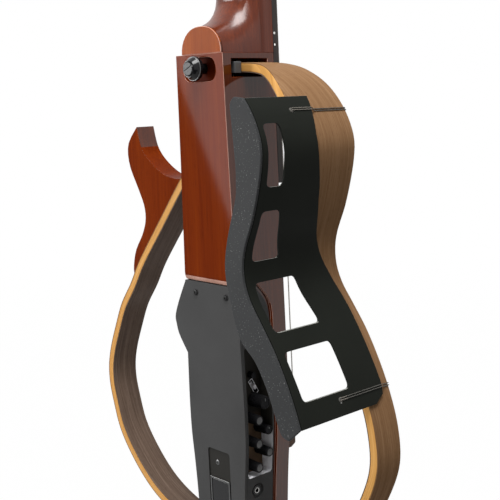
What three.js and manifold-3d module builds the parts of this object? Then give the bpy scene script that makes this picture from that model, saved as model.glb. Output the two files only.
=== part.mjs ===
// Silent guitar: a narrow spine with a neck, two bent side frames, built-in electronics and a side support.
// Millimetres. +X is the bass side, +Y runs from the back to the strings, +Z runs up the neck.
import * as THREE from 'three';
import { mergeVertices } from 'three/addons/utils/BufferGeometryUtils.js';
import Module from 'manifold-3d';

const wasm = await Module();
wasm.setup();

// Fits and facets
const gap = 0.3;
const overrun = 6;
const weld = 1e-4;
const roundSides = 18;
const smallSides = 10;
const cordSides = 8;
const neckSteps = 8;
const cornerSteps = 6;
const quarterTurn = Math.PI / 2;
const degree = Math.PI / 180;

// Strings and frets
const scaleLength = 650;
const fretCount = 19;
const fretsPerOctave = 12;
const stringCount = 6;
const stringRadii = [0.55, 0.45, 0.38, 0.52, 0.42, 0.36];
const nutSpread = 43;
const bridgeSpread = 58;
const nutAction = 2.2;
const saddleRise = 7.2;

// Spine: thick block above, thin front board below
const spineLength = 445;
const spineWidest = 74;
const spineDepth = 58.2;
const rearLeanShare = 0.0135;
const blockLength = 196.5;
const boardThickness = 15.5;
const stepStart = 27;
const stepReach = 31.5;
const stepShares = [[0, 0], [0.573, 0.302], [1, 0.46], [1, 1]];
const grooveWidth = 3.7;
const grooveDrop = 1.5;
const grooveInset = 2.5;
const spineWidthShares = [
  [0.8216, 0], [0.8432, 0.1348], [0.8757, 0.2697], [0.9135, 0.382], [0.9324, 0.4404], [0.9946, 0.6517],
  [1, 0.7191], [0.9811, 0.764], [0.9297, 0.809], [0.8865, 0.8539], [0.8541, 0.8989], [0.8108, 0.9663],
  [0.8, 1],
];

// Neck and fingerboard
const nutWidth = 52;
const fingerboardJointWidth = 61;
const fingerboardThickness = 6;
const fingerboardEndShare = 0.1723;
const neckNutDepth = 21.5;
const neckJointDepth = 23.5;
const neckRoundness = 2.2;
const nutThickness = 5;
const fretWidth = 2.2;
const fretHeight = 1;
const fretInset = 0.6;

// Heel
const heelCapThickness = 2;
const heelCapRear = 2.6;
const heelShares = [
  [0, 0.845, 0], [0.15, 0.86, 0.02], [0.35, 0.89, 0.07], [0.55, 0.92, 0.15], [0.72, 0.945, 0.27],
  [0.86, 0.96, 0.45], [0.95, 0.97, 0.7], [1, 0.975, 1],
];
const heelCapHeight = 23.3;
const heelRun = 72;
const heelFront = 45;

// Head
const headLength = 186;
const headThickness = 20;
const headTilt = 13;
const headHalfWidth = 34;
const headShoulder = 22;
const headCrest = 8;
const headCrestStart = 166;
const slotWidth = 15;
const slotCentre = 16;
const slotStart = 24;
const slotEnd = 152;

// Tuning machines
const rollerFirst = 48;
const rollerPitch = 38;
const rollerBarrelRadius = 5;
const rollerPinRadius = 3;
const rollerPinInset = 4;
const gearRadius = 6.5;
const gearThickness = 3;
const gearBossRadius = 2.4;
const gearBossLength = 1.2;
const plateThickness = 1;
const plateWidth = 13;
const plateMargin = 14;
const wormRadius = 2.5;
const wormLength = 9;
const wormStemRadius = 1.5;
const lugThickness = 1.5;
const buttonStandoff = 8;
const buttonLength = 16;
const buttonRadius = 8.5;
const buttonFlatShare = 0.5;
const buttonRoundShares = [0, 0.35, 0.75, 1, 0.8, 0];

// Bridge
const bridgeHalfWidth = 35;
const bridgeBase = 3;
const bridgeHeight = 8;
const bridgeFoot = 9;
const bridgeRidge = 6;
const bridgeLength = 35;
const tieBlockLength = 11;
const saddleHalfWidth = 33;
const saddleThickness = 3;
const pickupThickness = 1.5;
const stringHoleRadius = 1;

// Side frames
const boutHalfWidth = 178;
const frameThickness = 8.3;
const frameFront = 47.4;
const frameLeanShare = 0.025;
const frameSteps = 56;
const bassFrameShares = [
  [0.0787, 0.0178, 0.3557], [0.1705, 0.0184, 0.3557], [0.3298, 0.0238, 0.244], [0.4511, 0.0362, 0.0687],
  [0.5848, 0.0661, -0.1306], [0.6826, 0.109, -0.2234], [0.7376, 0.1578, -0.2577], [0.7388, 0.1924, -0.2457],
  [0.6904, 0.2744, -0.1546], [0.6371, 0.3283, -0.0258], [0.6236, 0.3551, 0.0515], [0.6303, 0.3883, 0.1375],
  [0.664, 0.4202, 0.1976], [0.7309, 0.456, 0.2302], [0.8112, 0.5, 0.2405], [0.8944, 0.5596, 0.2388],
  [0.9455, 0.6067, 0.2337], [0.982, 0.6524, 0.2216], [1, 0.7011, 0.2096], [0.9944, 0.7326, 0.201],
  [0.9635, 0.7708, 0.1942], [0.8933, 0.8247, 0.189], [0.7528, 0.8888, 0.189], [0.5955, 0.9371, 0.1976],
  [0.3933, 0.9685, 0.2062], [0.1348, 0.9831, 0.2148],
];
const trebleFrameShares = [
  [-0.1685, 0.182, 0.2985], [-0.3067, 0.2472, 0.2861], [-0.4904, 0.3371, 0.2689], [-0.6798, 0.4315, 0.2509],
  [-0.7545, 0.4787, 0.2418], [-0.8494, 0.5303, 0.232], [-0.9084, 0.5798, 0.2225], [-0.9697, 0.6404, 0.2109],
  [-0.9916, 0.6809, 0.2032], [-0.9876, 0.7191, 0.1959], [-0.9579, 0.7618, 0.1877], [-0.8933, 0.8247, 0.1757],
  [-0.7551, 0.8888, 0.1634], [-0.5938, 0.9371, 0.1542], [-0.3933, 0.9685, 0.1482], [-0.1348, 0.9831, 0.1454],
];

// Treble horn, screwed to the treble frame from inside
const hornRear = 20;
const hornFront = 40;
const hornOuterShares = [
  [-0.6742, 0.1393], [-0.7584, 0.1775], [-0.7528, 0.2225], [-0.6854, 0.2719], [-0.6404, 0.3079],
  [-0.6348, 0.3393], [-0.6685, 0.3708], [-0.736, 0.409], [-0.764, 0.4494], [-0.75, 0.475],
];
const hornCutawayShares = [
  [-0.2946, 0.2449], [-0.3652, 0.2449], [-0.4663, 0.236], [-0.573, 0.2112], [-0.6404, 0.182],
  [-0.6742, 0.1393],
];
const hornSteps = 30;
const hornScrewLevelShares = [0.3663, 0.427];
const hornScrewHeadRadius = 3.4;
const hornScrewHeadDepth = 2.4;
const hornScrewRadius = 1.6;
const hornScrewLengthShare = 0.1236;

// Socket, end block and thumbscrew that hold the bass frame
const socketRear = 9.2;
const socketFront = 50.7;
const socketTop = 4.7;
const socketBottom = 20;
const socketDepth = 44;
const endBlockRear = 12.6;
const endBlockSplit = 20.1;
const endBlockTop = 7.3;
const endBlockBottom = 16.8;
const endBlockReach = 12;
const endBlockTail = 31;
const forkPlay = 0.6;
const pocketHalfWidth = 21;
const pocketTop = 2.8;
const pocketBottom = 23;
const pocketFloor = 6;
const thumbLevel = 12;
const thumbShaftRadius = 2.8;
const thumbTip = 43;
const thumbEndRadius = 7;
const thumbRimRadius = 10.4;
const thumbStemRadius = 4.5;
const thumbEnd = -12.4;
const thumbRim = -6.6;
const thumbBack = -3.2;
const thumbSlotWidth = 1.8;
const thumbSlotDepth = 1.6;

// Electronics housing and what it carries
const coverThickness = 2.5;
const housingWall = 3;
const housingFrontWall = 1;
const housingBottomShare = 0.9499;
const bulgeShares = [
  [-0.457, 0.4422], [-0.6014, 0.4854], [-0.6891, 0.5191], [-0.6795, 0.5371], [-0.6338, 0.5596],
  [-0.4811, 0.595],
];
const bulgeFront = 30;
const recessLip = 1;
const recessFrontLip = 2;
const recessTopShare = 0.5596;
const recessBottomShare = 0.8236;
const panelFace = 22;
const panelThickness = 2;
const panelSeat = 1.5;
const coverScrewSpread = 40;
const coverScrewLevelShare = 0.1885;
const coverScrewHeadRadius = 3;
const coverScrewHeadHeight = 1.2;
const coverScrewRadius = 1.4;
const coverScrewLength = 9;
const batteryRecessHalfWidth = 14.4;
const batteryRecessTopShare = 0.7809;
const batteryRecessBottomShare = 0.9452;
const batteryRecessDepth = 1;
const batteryFrameHalfWidth = 13;
const batteryFrameTopShare = 0.8404;
const batteryFrameBottomShare = 0.9429;
const batteryFrameWidth = 1.6;
const batteryDoorThickness = 2;
const cellRadius = 5.2;
const cellLengthShare = 0.0899;
const cellNubRadius = 1.9;
const cellNubLength = 1;
const boardPlateThickness = 1.6;

// Controls: depth and height as shares of the side recess
const knobs = [
  { name: 'volume_knob', depthShare: 0.7005, heightShare: 0.446, radius: 6.5 },
  { name: 'treble_knob', depthShare: 0.4458, heightShare: 0.5685, radius: 4.8 },
  { name: 'bass_knob', depthShare: 0.8279, heightShare: 0.663, radius: 4.6 },
  { name: 'blend_knob', depthShare: 0.4114, heightShare: 0.746, radius: 4.8 },
  { name: 'effect_knob', depthShare: 0.8279, heightShare: 0.835, radius: 4.6 },
  { name: 'aux_knob', depthShare: 0.3941, heightShare: 0.9285, radius: 4.8 },
];
const knobLength = 16;
const knobTaperShare = 0.88;
const knobCapShare = 0.7;
const knobCapDepth = 0.8;
const knobShaftRadius = 2.5;
const knobShaftLength = 7;
const potHalfSize = 4.5;
const potLength = 5;
const tunerButtonDepthShare = 0.611;
const tunerButtonHeightShare = 0.25;
const tunerButtonRadius = 3;
const tunerButtonLength = 5;
const tunerButtonFlange = 1.2;
const switchDepthShare = 0.74;
const switchHeightShare = 0.3498;
const switchLean = 30;
const switchLength = 12;
const switchWidth = 3.6;
const switchThickness = 2;
const switchPlateLength = 7;
const switchMargin = 0.8;
const switchThumbLength = 4;
const switchThumbHeight = 2;

// Jacks in the bass side below the controls
const jackDepth = 20.5;
const jackLevelShares = [0.855, 0.892];
const jackNames = ['phones_jack', 'aux_jack'];
const jackRadius = 4.6;
const jackBore = 1.8;
const jackLength = 14;
const jackProud = 0.8;
const jackDishRadius = 7;
const jackDishDepth = 2;

// Tail block and strap pin
const tailBlockHalfWidth = 28.5;
const tailPocketGap = 1;
const strapPinDepth = 27;
const strapPinHeadRadius = 5.5;
const strapPinNeckRadius = 3.2;
const strapPinFootRadius = 6;
const strapPinLength = 13;
const strapPinFoot = 2;
const strapPinHead = 3;
const strapScrewRadius = 2;
const strapScrewLength = 16;

// Side support: a thin sheet round the bass frame and a flat rear flange
const sheetGap = 0.4;
const sheetThickness = 1.6;
const sheetTopShare = 0.0865;
const sheetBottomShare = 0.6124;
const sheetSteps = 42;
const flangeDepth = 55.4;
const flangeLeanShare = 0.0306;
const flangeThickness = 2.2;
const flangeTopShare = 0.0831;
const flangeTipShare = 0.6202;
const windowRadius = 4.5;
const sheetFrontShares = [
  [0.0854, 0.1753], [0.1034, 0.1306], [0.1258, 0.079], [0.1506, 0.0326], [0.1753, 0.0378], [0.2022, 0.0687],
  [0.2382, 0.1254], [0.2652, 0.1529], [0.3034, 0.232], [0.3393, 0.3247], [0.3663, 0.4089], [0.3978, 0.5086],
  [0.4315, 0.5704], [0.4629, 0.5704], [0.4966, 0.5498], [0.5348, 0.5464], [0.5843, 0.5498], [0.5978, 0.5326],
  [0.6079, 0.4639], [0.6124, 0.3436],
];
const flangeInnerShares = [
  [0.5927, 0.0809], [0.5674, 0.0921], [0.573, 0.1169], [0.5843, 0.1528], [0.5955, 0.191], [0.5983, 0.2247],
  [0.5933, 0.2494], [0.5393, 0.3191], [0.5225, 0.3708], [0.5506, 0.4202], [0.6096, 0.4831], [0.7022, 0.5169],
  [0.7697, 0.5573], [0.8146, 0.5955], [0.8539, 0.627], [0.8989, 0.6337],
];
const windowShares = [
  { top: 0.1258, bottom: 0.2292, rear: [-0.859, -0.859], front: [-0.567, -0.567] },
  { top: 0.2697, bottom: 0.3562, rear: [-0.868, -0.868], front: [-0.541, -0.378] },
  { top: 0.3917, bottom: 0.4692, rear: [-0.859, -0.887], front: [-0.137, -0.058] },
  { top: 0.4978, bottom: 0.5744, rear: [-0.9055, -0.893], front: [-0.058, -0.041] },
];

// Cords that tie the support to the frame
const cordRadius = 0.6;
const cordTurns = 2;
const cordPitch = 1.7;
const cordHoleRadius = 2.4;
const cordCornerRadius = 1.4;
const cordTies = [
  { name: 'support_cord_top', levelShare: 0.1085, holeShare: -0.2474 },
  { name: 'support_cord_bottom', levelShare: 0.5883, holeShare: -0.2629 },
];

// Materials
function finish(color, roughness, metalness = 0) {
  return new THREE.MeshStandardMaterial({ color, roughness, metalness });
}
const mahogany = finish(0x7a2d12, 0.15);
const maple = finish(0xd9a45c, 0.2);
const rosewood = finish(0x4a2c20, 0.25);
const ebony = finish(0x2a1c18, 0.5);
const bone = finish(0xefe6cf, 0.4);
const nickelSilver = finish(0xc9c6bd, 0.25, 1);
const steel = finish(0xb8b8b8, 0.3, 1);
const brass = finish(0xc9a450, 0.3, 1);
const housingPlastic = finish(0x3a3a3a, 0.6);
const glossPlastic = finish(0x101010, 0.15);
const knobPlastic = finish(0x141414, 0.45);
const panelPlastic = finish(0x9a9a9a, 0.5);
const sheetPlastic = finish(0x262626, 0.55);
const cordFibre = finish(0x3c3c3c, 0.8);
const nylon = finish(0xe4dfcf, 0.35);
const woundString = finish(0xb3aea4, 0.4, 0.8);
const boardGreen = finish(0x1f5a38, 0.6);

// Solids from outlines, turnings and lofts
function point(x, y, z) {
  return new THREE.Vector3(x, y, z);
}

function tidy(geometry) {
  const bare = geometry.index ? geometry.toNonIndexed() : geometry.clone();
  bare.deleteAttribute('normal');
  bare.deleteAttribute('uv');
  const merged = mergeVertices(bare, weld);
  const source = merged.index.array;
  const place = merged.attributes.position;
  const corners = [point(0, 0, 0), point(0, 0, 0), point(0, 0, 0)];
  const kept = [];
  let volume = 0;
  for (let i = 0; i < source.length; i += 3) {
    const face = [source[i], source[i + 1], source[i + 2]];
    if (new Set(face).size === face.length) {
      kept.push(face);
      corners.forEach((corner, at) => corner.fromBufferAttribute(place, face[at]));
      volume += corners[0].dot(corners[1].clone().cross(corners[2]));
    }
  }
  const faces = volume < 0 ? kept.map(([a, b, c]) => [a, c, b]) : kept;
  merged.setIndex(faces.flat());
  return merged;
}

function toSolid(geometry) {
  const clean = tidy(geometry);
  return new wasm.Manifold(new wasm.Mesh({
    numProp: 3,
    vertProperties: new Float32Array(clean.attributes.position.array),
    triVerts: new Uint32Array(clean.index.array),
  }));
}

function toGeometry(solid) {
  const mesh = solid.getMesh();
  const corners = new Float32Array(mesh.vertProperties);
  const geometry = new THREE.BufferGeometry();
  geometry.setAttribute('position', new THREE.BufferAttribute(corners, mesh.numProp));
  geometry.setIndex(Array.from(mesh.triVerts));
  return geometry;
}

function cut(geometry, ...tools) {
  return toGeometry(tools.reduce((solid, tool) => solid.subtract(toSolid(tool)), toSolid(geometry)));
}

function join(geometry, ...others) {
  return toGeometry(others.reduce((solid, other) => solid.add(toSolid(other)), toSolid(geometry)));
}

function common(geometry, ...others) {
  return toGeometry(others.reduce((solid, other) => solid.intersect(toSolid(other)), toSolid(geometry)));
}

const outlineAxes = {
  x: [point(0, 1, 0), point(0, 0, 1), point(1, 0, 0)],
  y: [point(1, 0, 0), point(0, 0, 1), point(0, -1, 0)],
  z: [point(1, 0, 0), point(0, 1, 0), point(0, 0, 1)],
};

function toShape(outline) {
  return new THREE.Shape(outline.map(([a, b]) => new THREE.Vector2(a, b)));
}

function slab(axis, outline, from, to) {
  const shape = outline instanceof THREE.Shape ? outline : toShape(outline);
  const settings = { depth: to - from, bevelEnabled: false, curveSegments: cornerSteps };
  const geometry = new THREE.ExtrudeGeometry(shape, settings);
  const [across, up, along] = outlineAxes[axis];
  geometry.applyMatrix4(new THREE.Matrix4().makeBasis(across, up, along));
  const start = axis === 'y' ? to : from;
  const shift = { x: point(start, 0, 0), y: point(0, start, 0), z: point(0, 0, start) }[axis];
  return geometry.translate(shift.x, shift.y, shift.z);
}

function box(x0, x1, y0, y1, z0, z1) {
  const geometry = new THREE.BoxGeometry(x1 - x0, y1 - y0, z1 - z0);
  return geometry.translate((x0 + x1) / 2, (y0 + y1) / 2, (z0 + z1) / 2);
}

function turned(axis, profile, at, sides = roundSides) {
  const outline = profile.map(([radius, along]) => new THREE.Vector2(radius, along));
  const geometry = new THREE.LatheGeometry(outline, sides);
  if (axis === 'x') {
    geometry.rotateZ(-quarterTurn);
  }
  if (axis === 'z') {
    geometry.rotateX(quarterTurn);
  }
  return geometry.translate(at.x, at.y, at.z);
}

function rod(axis, radius, from, to, at, sides = roundSides) {
  return turned(axis, [[0, from], [radius, from], [radius, to], [0, to]], at, sides);
}

function loft(rings) {
  const count = rings[0].length;
  const index = [];
  for (let ring = 0; ring + 1 < rings.length; ring += 1) {
    for (let i = 0; i < count; i += 1) {
      const a = ring * count + i;
      const b = ring * count + ((i + 1) % count);
      index.push(a, b, b + count, a, b + count, a + count);
    }
  }
  const last = (rings.length - 1) * count;
  for (let i = 1; i + 1 < count; i += 1) {
    index.push(0, i + 1, i, last, last + i, last + i + 1);
  }
  const geometry = new THREE.BufferGeometry();
  const corners = rings.flat().flatMap((p) => [p.x, p.y, p.z]);
  geometry.setAttribute('position', new THREE.Float32BufferAttribute(corners, 3));
  geometry.setIndex(index);
  return geometry;
}

function tube(points, radius, sides = cordSides) {
  let across = null;
  const rings = points.map((here, i) => {
    const next = points[Math.min(i + 1, points.length - 1)];
    const ahead = next.clone().sub(points[Math.max(i - 1, 0)]).normalize();
    if (across === null) {
      across = Math.abs(ahead.x) < Math.SQRT1_2 ? point(1, 0, 0) : point(0, 0, 1);
    }
    across = across.clone().addScaledVector(ahead, -across.dot(ahead)).normalize();
    const up = ahead.clone().cross(across);
    return Array.from({ length: sides }, (_, side) => {
      const turn = (side / sides) * 4 * quarterTurn;
      const sideways = across.clone().multiplyScalar(Math.cos(turn)).addScaledVector(up, Math.sin(turn));
      return here.clone().addScaledVector(sideways, radius);
    });
  });
  return loft(rings);
}

function smooth(points, steps) {
  const curve = new THREE.SplineCurve(points.map(([a, b]) => new THREE.Vector2(a, b)));
  return curve.getPoints(steps).map((p) => [p.x, p.y]);
}

function softened(corners, radius) {
  const shape = new THREE.Shape();
  corners.forEach(([a, b], i) => {
    const corner = new THREE.Vector2(a, b);
    const before = new THREE.Vector2(...corners[(i + corners.length - 1) % corners.length]);
    const after = new THREE.Vector2(...corners[(i + 1) % corners.length]);
    const enter = corner.clone().add(before.sub(corner).setLength(radius));
    const leave = corner.clone().add(after.sub(corner).setLength(radius));
    if (i === 0) {
      shape.moveTo(enter.x, enter.y);
    } else {
      shape.lineTo(enter.x, enter.y);
    }
    shape.quadraticCurveTo(corner.x, corner.y, leave.x, leave.y);
  });
  shape.closePath();
  return shape;
}

function rounded(a0, a1, b0, b1, radius) {
  return softened([[a0, b0], [a1, b0], [a1, b1], [a0, b1]], radius);
}

function interpolate(table, at) {
  const next = table.findIndex(([key]) => key >= at);
  if (next <= 0) {
    return next === 0 ? table[0][1] : table[table.length - 1][1];
  }
  const [keyA, valueA] = table[next - 1];
  const [keyB, valueB] = table[next];
  return valueA + ((valueB - valueA) * (at - keyA)) / (keyB - keyA);
}

// Levels and surfaces that several pieces share
const boardRear = spineDepth - boardThickness;
const coreRear = boardRear - grooveWidth;
const fingerboardRear = spineDepth + gap;
const fingerboardTop = fingerboardRear + fingerboardThickness;
const nutLevel = scaleLength / 2;
const saddleLevel = -scaleLength / 2;
const stringNutY = fingerboardTop + nutAction;
const stringSaddleY = fingerboardTop + saddleRise;
const spineHalfWidths = spineWidthShares.map(([width, level]) => (
  [level * spineLength, (width * spineWidest) / 2]
));
const housingBottom = housingBottomShare * spineLength;
const recessTop = recessTopShare * spineLength;
const recessBottom = recessBottomShare * spineLength;
const batteryRecessTop = batteryRecessTopShare * spineLength;
const batteryRecessBottom = batteryRecessBottomShare * spineLength;
const batteryFrameTop = batteryFrameTopShare * spineLength;
const batteryFrameBottom = batteryFrameBottomShare * spineLength;
const cellLength = cellLengthShare * spineLength;
const jackLevels = jackLevelShares.map((share) => share * spineLength);
const hornScrewLevels = hornScrewLevelShares.map((share) => share * spineLength);
const hornScrewLength = hornScrewLengthShare * boutHalfWidth;
const fingerboardEnd = fingerboardEndShare * scaleLength;
const sheetTop = sheetTopShare * spineLength;
const sheetBottom = sheetBottomShare * spineLength;
const flangeTop = flangeTopShare * spineLength;
const flangeTip = flangeTipShare * spineLength;

function spineHalfWidth(z) {
  return interpolate(spineHalfWidths, -z);
}

function rearFace(z) {
  return -z * rearLeanShare;
}

function frameFrontEdge(z) {
  return frameFront + z * frameLeanShare;
}

function flangeRearFace(z) {
  return -flangeDepth + z * flangeLeanShare;
}

function fretLevel(fret) {
  return nutLevel - scaleLength * (1 - 2 ** (-fret / fretsPerOctave));
}

function fingerboardHalfWidth(z) {
  return (fingerboardJointWidth + (nutWidth - fingerboardJointWidth) * (z / nutLevel)) / 2;
}

const instrument = new THREE.Group();
instrument.name = 'silent_guitar';

function add(name, geometry, material, parent = instrument) {
  const mesh = new THREE.Mesh(tidy(geometry), material);
  mesh.geometry.computeVertexNormals();
  mesh.name = name;
  parent.add(mesh);
  return mesh;
}

// Frame profiles: stations along each bent frame, with its outward direction and its two edges
function frameStations(shares, steps) {
  const knots = shares.map(([x, level, rear]) => (
    point(x * boutHalfWidth, rear * spineDepth, -level * spineLength)
  ));
  const curve = new THREE.CatmullRomCurve3(knots, false, 'centripetal');
  const side = Math.sign(knots[0].x);
  return Array.from({ length: steps + 1 }, (_, i) => {
    const at = curve.getPointAt(i / steps);
    const along = curve.getTangentAt(i / steps).setY(0).normalize();
    const out = point(-along.z, 0, along.x).multiplyScalar(side);
    return { at: at.clone().setY(0), out, along, rear: at.y, front: frameFrontEdge(at.z) };
  });
}

function bend(stations, inner, outer, grow = 0) {
  return loft(stations.map(({ at, out, rear, front }) => {
    const near = at.clone().addScaledVector(out, outer);
    const far = at.clone().addScaledVector(out, -inner);
    return [
      near.clone().setY(rear - grow), near.clone().setY(front + grow),
      far.clone().setY(front + grow), far.clone().setY(rear - grow),
    ];
  }));
}

const bassStations = frameStations(bassFrameShares, frameSteps);
const trebleStations = frameStations(trebleFrameShares, frameSteps);
const trebleClearance = bend(trebleStations, frameThickness + gap, gap, gap);

// Spine
const spineOutline = [
  ...smooth(spineHalfWidths.map(([level, half]) => [half, -level]), frameSteps),
  ...smooth(spineHalfWidths.map(([level, half]) => [-half, -level]), frameSteps).reverse(),
];

function stepCurve(back, down) {
  const bendPoints = stepShares.map(([depth, drop]) => new THREE.Vector2(
    stepStart + depth * (boardRear - stepStart) - back,
    -blockLength - drop * stepReach - down,
  ));
  const curve = new THREE.CubicBezierCurve(...bendPoints);
  return curve.getPoints(smallSides).map((p) => [p.x, p.y]);
}

function spineProfile(back, down) {
  return slab('x', [
    [0, 0], [spineDepth, 0], [spineDepth, -spineLength], [boardRear - back, -spineLength],
    ...stepCurve(back, down).reverse(), [stepStart - back, -blockLength],
    [rearFace(-blockLength), -blockLength],
  ], -spineWidest, spineWidest);
}

function inset(outline, distance) {
  return outline.map(([x, z]) => [x - Math.sign(x) * distance, z]);
}

const socketInnerX = spineHalfWidth(0) - socketDepth;
const thumbPlace = point(0, 0, -thumbLevel);
const pocketRadius = (pocketBottom - pocketTop) / 2;
const pocketOutline = rounded(
  -pocketHalfWidth, pocketHalfWidth, -pocketBottom, -pocketTop, pocketRadius - weld,
);
const boardCore = common(
  slab('y', inset(spineOutline, grooveInset), -overrun, spineDepth - weld),
  spineProfile(grooveWidth, grooveDrop),
);
add('body_spine', cut(
  join(common(slab('y', spineOutline, -overrun, spineDepth + overrun), spineProfile(0, 0)), boardCore),
  slab('y', pocketOutline, -overrun, pocketFloor),
  rod('y', thumbShaftRadius + gap, 0, socketFront, thumbPlace),
  box(socketInnerX, spineWidest, socketRear, socketFront, -socketBottom, -socketTop),
  trebleClearance,
), mahogany);

// Neck: shaft, heel and slotted head in one piece
function archRing(halfWidth, top, y) {
  return Array.from({ length: roundSides + 1 }, (_, i) => {
    const turn = (i / roundSides) * 2 * quarterTurn;
    const x = Math.sign(Math.cos(turn)) * Math.abs(Math.cos(turn)) ** (2 / neckRoundness) * halfWidth;
    return point(x, y, gap + Math.abs(Math.sin(turn)) ** (2 / neckRoundness) * (top - gap));
  });
}

function shaftRing(z) {
  const halfWidth = fingerboardHalfWidth(z);
  const depth = neckJointDepth + (neckNutDepth - neckJointDepth) * (z / nutLevel);
  return Array.from({ length: roundSides + 1 }, (_, i) => {
    const turn = (i / roundSides) * 2 * quarterTurn;
    const x = Math.sign(Math.cos(turn)) * Math.abs(Math.cos(turn)) ** (2 / neckRoundness) * halfWidth;
    return point(x, spineDepth - Math.abs(Math.sin(turn)) ** (2 / neckRoundness) * depth, z);
  });
}

const heelRear = heelCapRear + heelCapThickness + gap;
const heelRings = heelShares.map(([depth, width, rise]) => archRing(
  width * fingerboardHalfWidth(0),
  heelCapHeight + rise * heelRun,
  heelRear + depth * (heelFront - heelRear),
));
const headStart = nutLevel + nutThickness + 2 * gap;
const headMatrix = new THREE.Matrix4().makeTranslation(0, spineDepth, headStart)
  .multiply(new THREE.Matrix4().makeRotationX(headTilt * degree));
const headSide = [[nutWidth / 2, -headThickness / 2], [nutWidth / 2, 0], [headHalfWidth, headShoulder]];
const headCrown = smooth([
  [headHalfWidth, headCrestStart], [headHalfWidth / 2, headLength - headCrest], [0, headLength],
  [-headHalfWidth / 2, headLength - headCrest], [-headHalfWidth, headCrestStart],
], roundSides);
const headShape = [...headSide, ...headCrown, ...headSide.map(([a, b]) => [-a, b]).reverse()];
const slots = [-slotCentre, slotCentre].map((centre) => rounded(
  centre - slotWidth / 2, centre + slotWidth / 2, slotStart, slotEnd, slotWidth / 2 - weld,
));
const perSide = stringCount / 2;
const rollerLevels = Array.from({ length: perSide }, (_, i) => rollerFirst + i * rollerPitch);
const rollerDepth = -headThickness / 2;

function crossHole(level, reach) {
  const place = point(0, rollerDepth, level);
  return rod('x', rollerPinRadius + gap, -reach - overrun, reach + overrun, place, smallSides);
}

const headCuts = [
  ...slots.map((slot) => slab('y', slot, -headThickness - overrun, overrun)),
  ...rollerLevels.map((level) => crossHole(level, headHalfWidth)),
];
const ribKeeper = box(-rollerPinInset + gap, rollerPinInset - gap, -headThickness, 0, slotStart, slotEnd);
const head = join(cut(slab('y', headShape, -headThickness, 0), ...headCuts), ribKeeper);
head.applyMatrix4(headMatrix);
const nutSeat = box(
  -headHalfWidth, headHalfWidth, spineDepth, spineDepth + overrun, nutLevel - headThickness, headStart,
);
const shaftRings = Array.from({ length: neckSteps + 1 }, (_, i) => (
  shaftRing(gap + (i / neckSteps) * (headStart - gap))
));
add('neck', join(loft(shaftRings), loft(heelRings), cut(head, nutSeat)), mahogany);
add('heel_cap', loft([
  archRing(heelShares[0][1] * fingerboardHalfWidth(0), heelCapHeight, heelCapRear),
  archRing(heelShares[0][1] * fingerboardHalfWidth(0), heelCapHeight, heelCapRear + heelCapThickness),
]), rosewood);

// Fingerboard with its frets pressed in
const fretLevels = Array.from({ length: fretCount }, (_, i) => fretLevel(i + 1));
const boardTopHalf = fingerboardHalfWidth(nutLevel);
const boardEndHalf = fingerboardHalfWidth(-fingerboardEnd);
const board = slab('y', [
  [boardTopHalf, nutLevel], [-boardTopHalf, nutLevel],
  [-boardEndHalf, -fingerboardEnd], [boardEndHalf, -fingerboardEnd],
], fingerboardRear, fingerboardTop);
const frets = fretLevels.map((level) => {
  const reach = fingerboardHalfWidth(level) - fretInset;
  const top = fingerboardTop + fretHeight;
  return slab('x', [
    [fingerboardTop - fretHeight, level - fretWidth / 2], [fingerboardTop, level - fretWidth / 2],
    [top, level - fretWidth / 4], [top, level + fretWidth / 4],
    [fingerboardTop, level + fretWidth / 2], [fingerboardTop - fretHeight, level + fretWidth / 2],
  ], -reach, reach);
});
add('fingerboard', join(board, ...frets), ebony);
const stringClearance = Math.max(...stringRadii) + gap;
add('nut', box(
  -nutWidth / 2, nutWidth / 2, fingerboardRear, stringNutY - stringClearance,
  nutLevel + gap, nutLevel + gap + nutThickness,
), bone);

// Tuning machines, in the tilted head's own frame
const headGroup = new THREE.Group();
headGroup.name = 'head';
headMatrix.decompose(headGroup.position, headGroup.quaternion, headGroup.scale);
instrument.add(headGroup);
const plateInner = headHalfWidth + gap;
const plateOuter = plateInner + plateThickness;
const wormX = plateOuter + gap + wormRadius;
const gearInner = wormX - gearThickness / 2;
const gearOuter = gearInner + gearThickness;
const wormOffset = gearRadius + wormRadius + gap;
const lugReach = wormX + wormStemRadius + lugThickness;
const lugGap = wormLength / 2 + gap;

function tunerPlate(side) {
  const ordered = (a, b) => [Math.min(side * a, side * b), Math.max(side * a, side * b)];
  const plate = box(
    ...ordered(plateInner, plateOuter), rollerDepth - plateWidth / 2, rollerDepth + plateWidth / 2,
    rollerLevels[0] - plateMargin, rollerLevels[perSide - 1] + plateMargin + wormOffset,
  );
  const lugs = rollerLevels.flatMap((level) => [-1, 1].map((end) => {
    const near = rollerDepth + end * lugGap;
    const far = near + end * lugThickness;
    return box(
      ...ordered(plateInner, lugReach), Math.min(near, far), Math.max(near, far),
      level + wormOffset - wormRadius, level + wormOffset + wormRadius,
    );
  }));
  const holes = rollerLevels.flatMap((level) => {
    const wormPlace = point(side * wormX, 0, level + wormOffset);
    return [
      crossHole(level, lugReach),
      rod('y', wormStemRadius + gap, -headThickness, 0, wormPlace, smallSides),
    ];
  });
  return cut(join(plate, ...lugs), ...holes);
}

const wormFront = rollerDepth + wormLength / 2;
const wormRear = rollerDepth - wormLength / 2;
const buttonFront = rollerDepth - lugGap - lugThickness - buttonStandoff;
const buttonRear = buttonFront - buttonLength;
const buttonMiddle = (buttonFront + buttonRear) / 2;
const wormProfile = [
  [0, rollerDepth + lugGap + lugThickness], [wormStemRadius, rollerDepth + lugGap + lugThickness],
  [wormStemRadius, wormFront], [wormRadius, wormFront], [wormRadius, wormRear],
  [wormStemRadius, wormRear], [wormStemRadius, buttonMiddle], [0, buttonMiddle],
];
const buttonProfile = buttonRoundShares.map((share, i, all) => [
  share * buttonRadius, buttonFront + ((buttonRear - buttonFront) * i) / (all.length - 1),
]);

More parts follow.
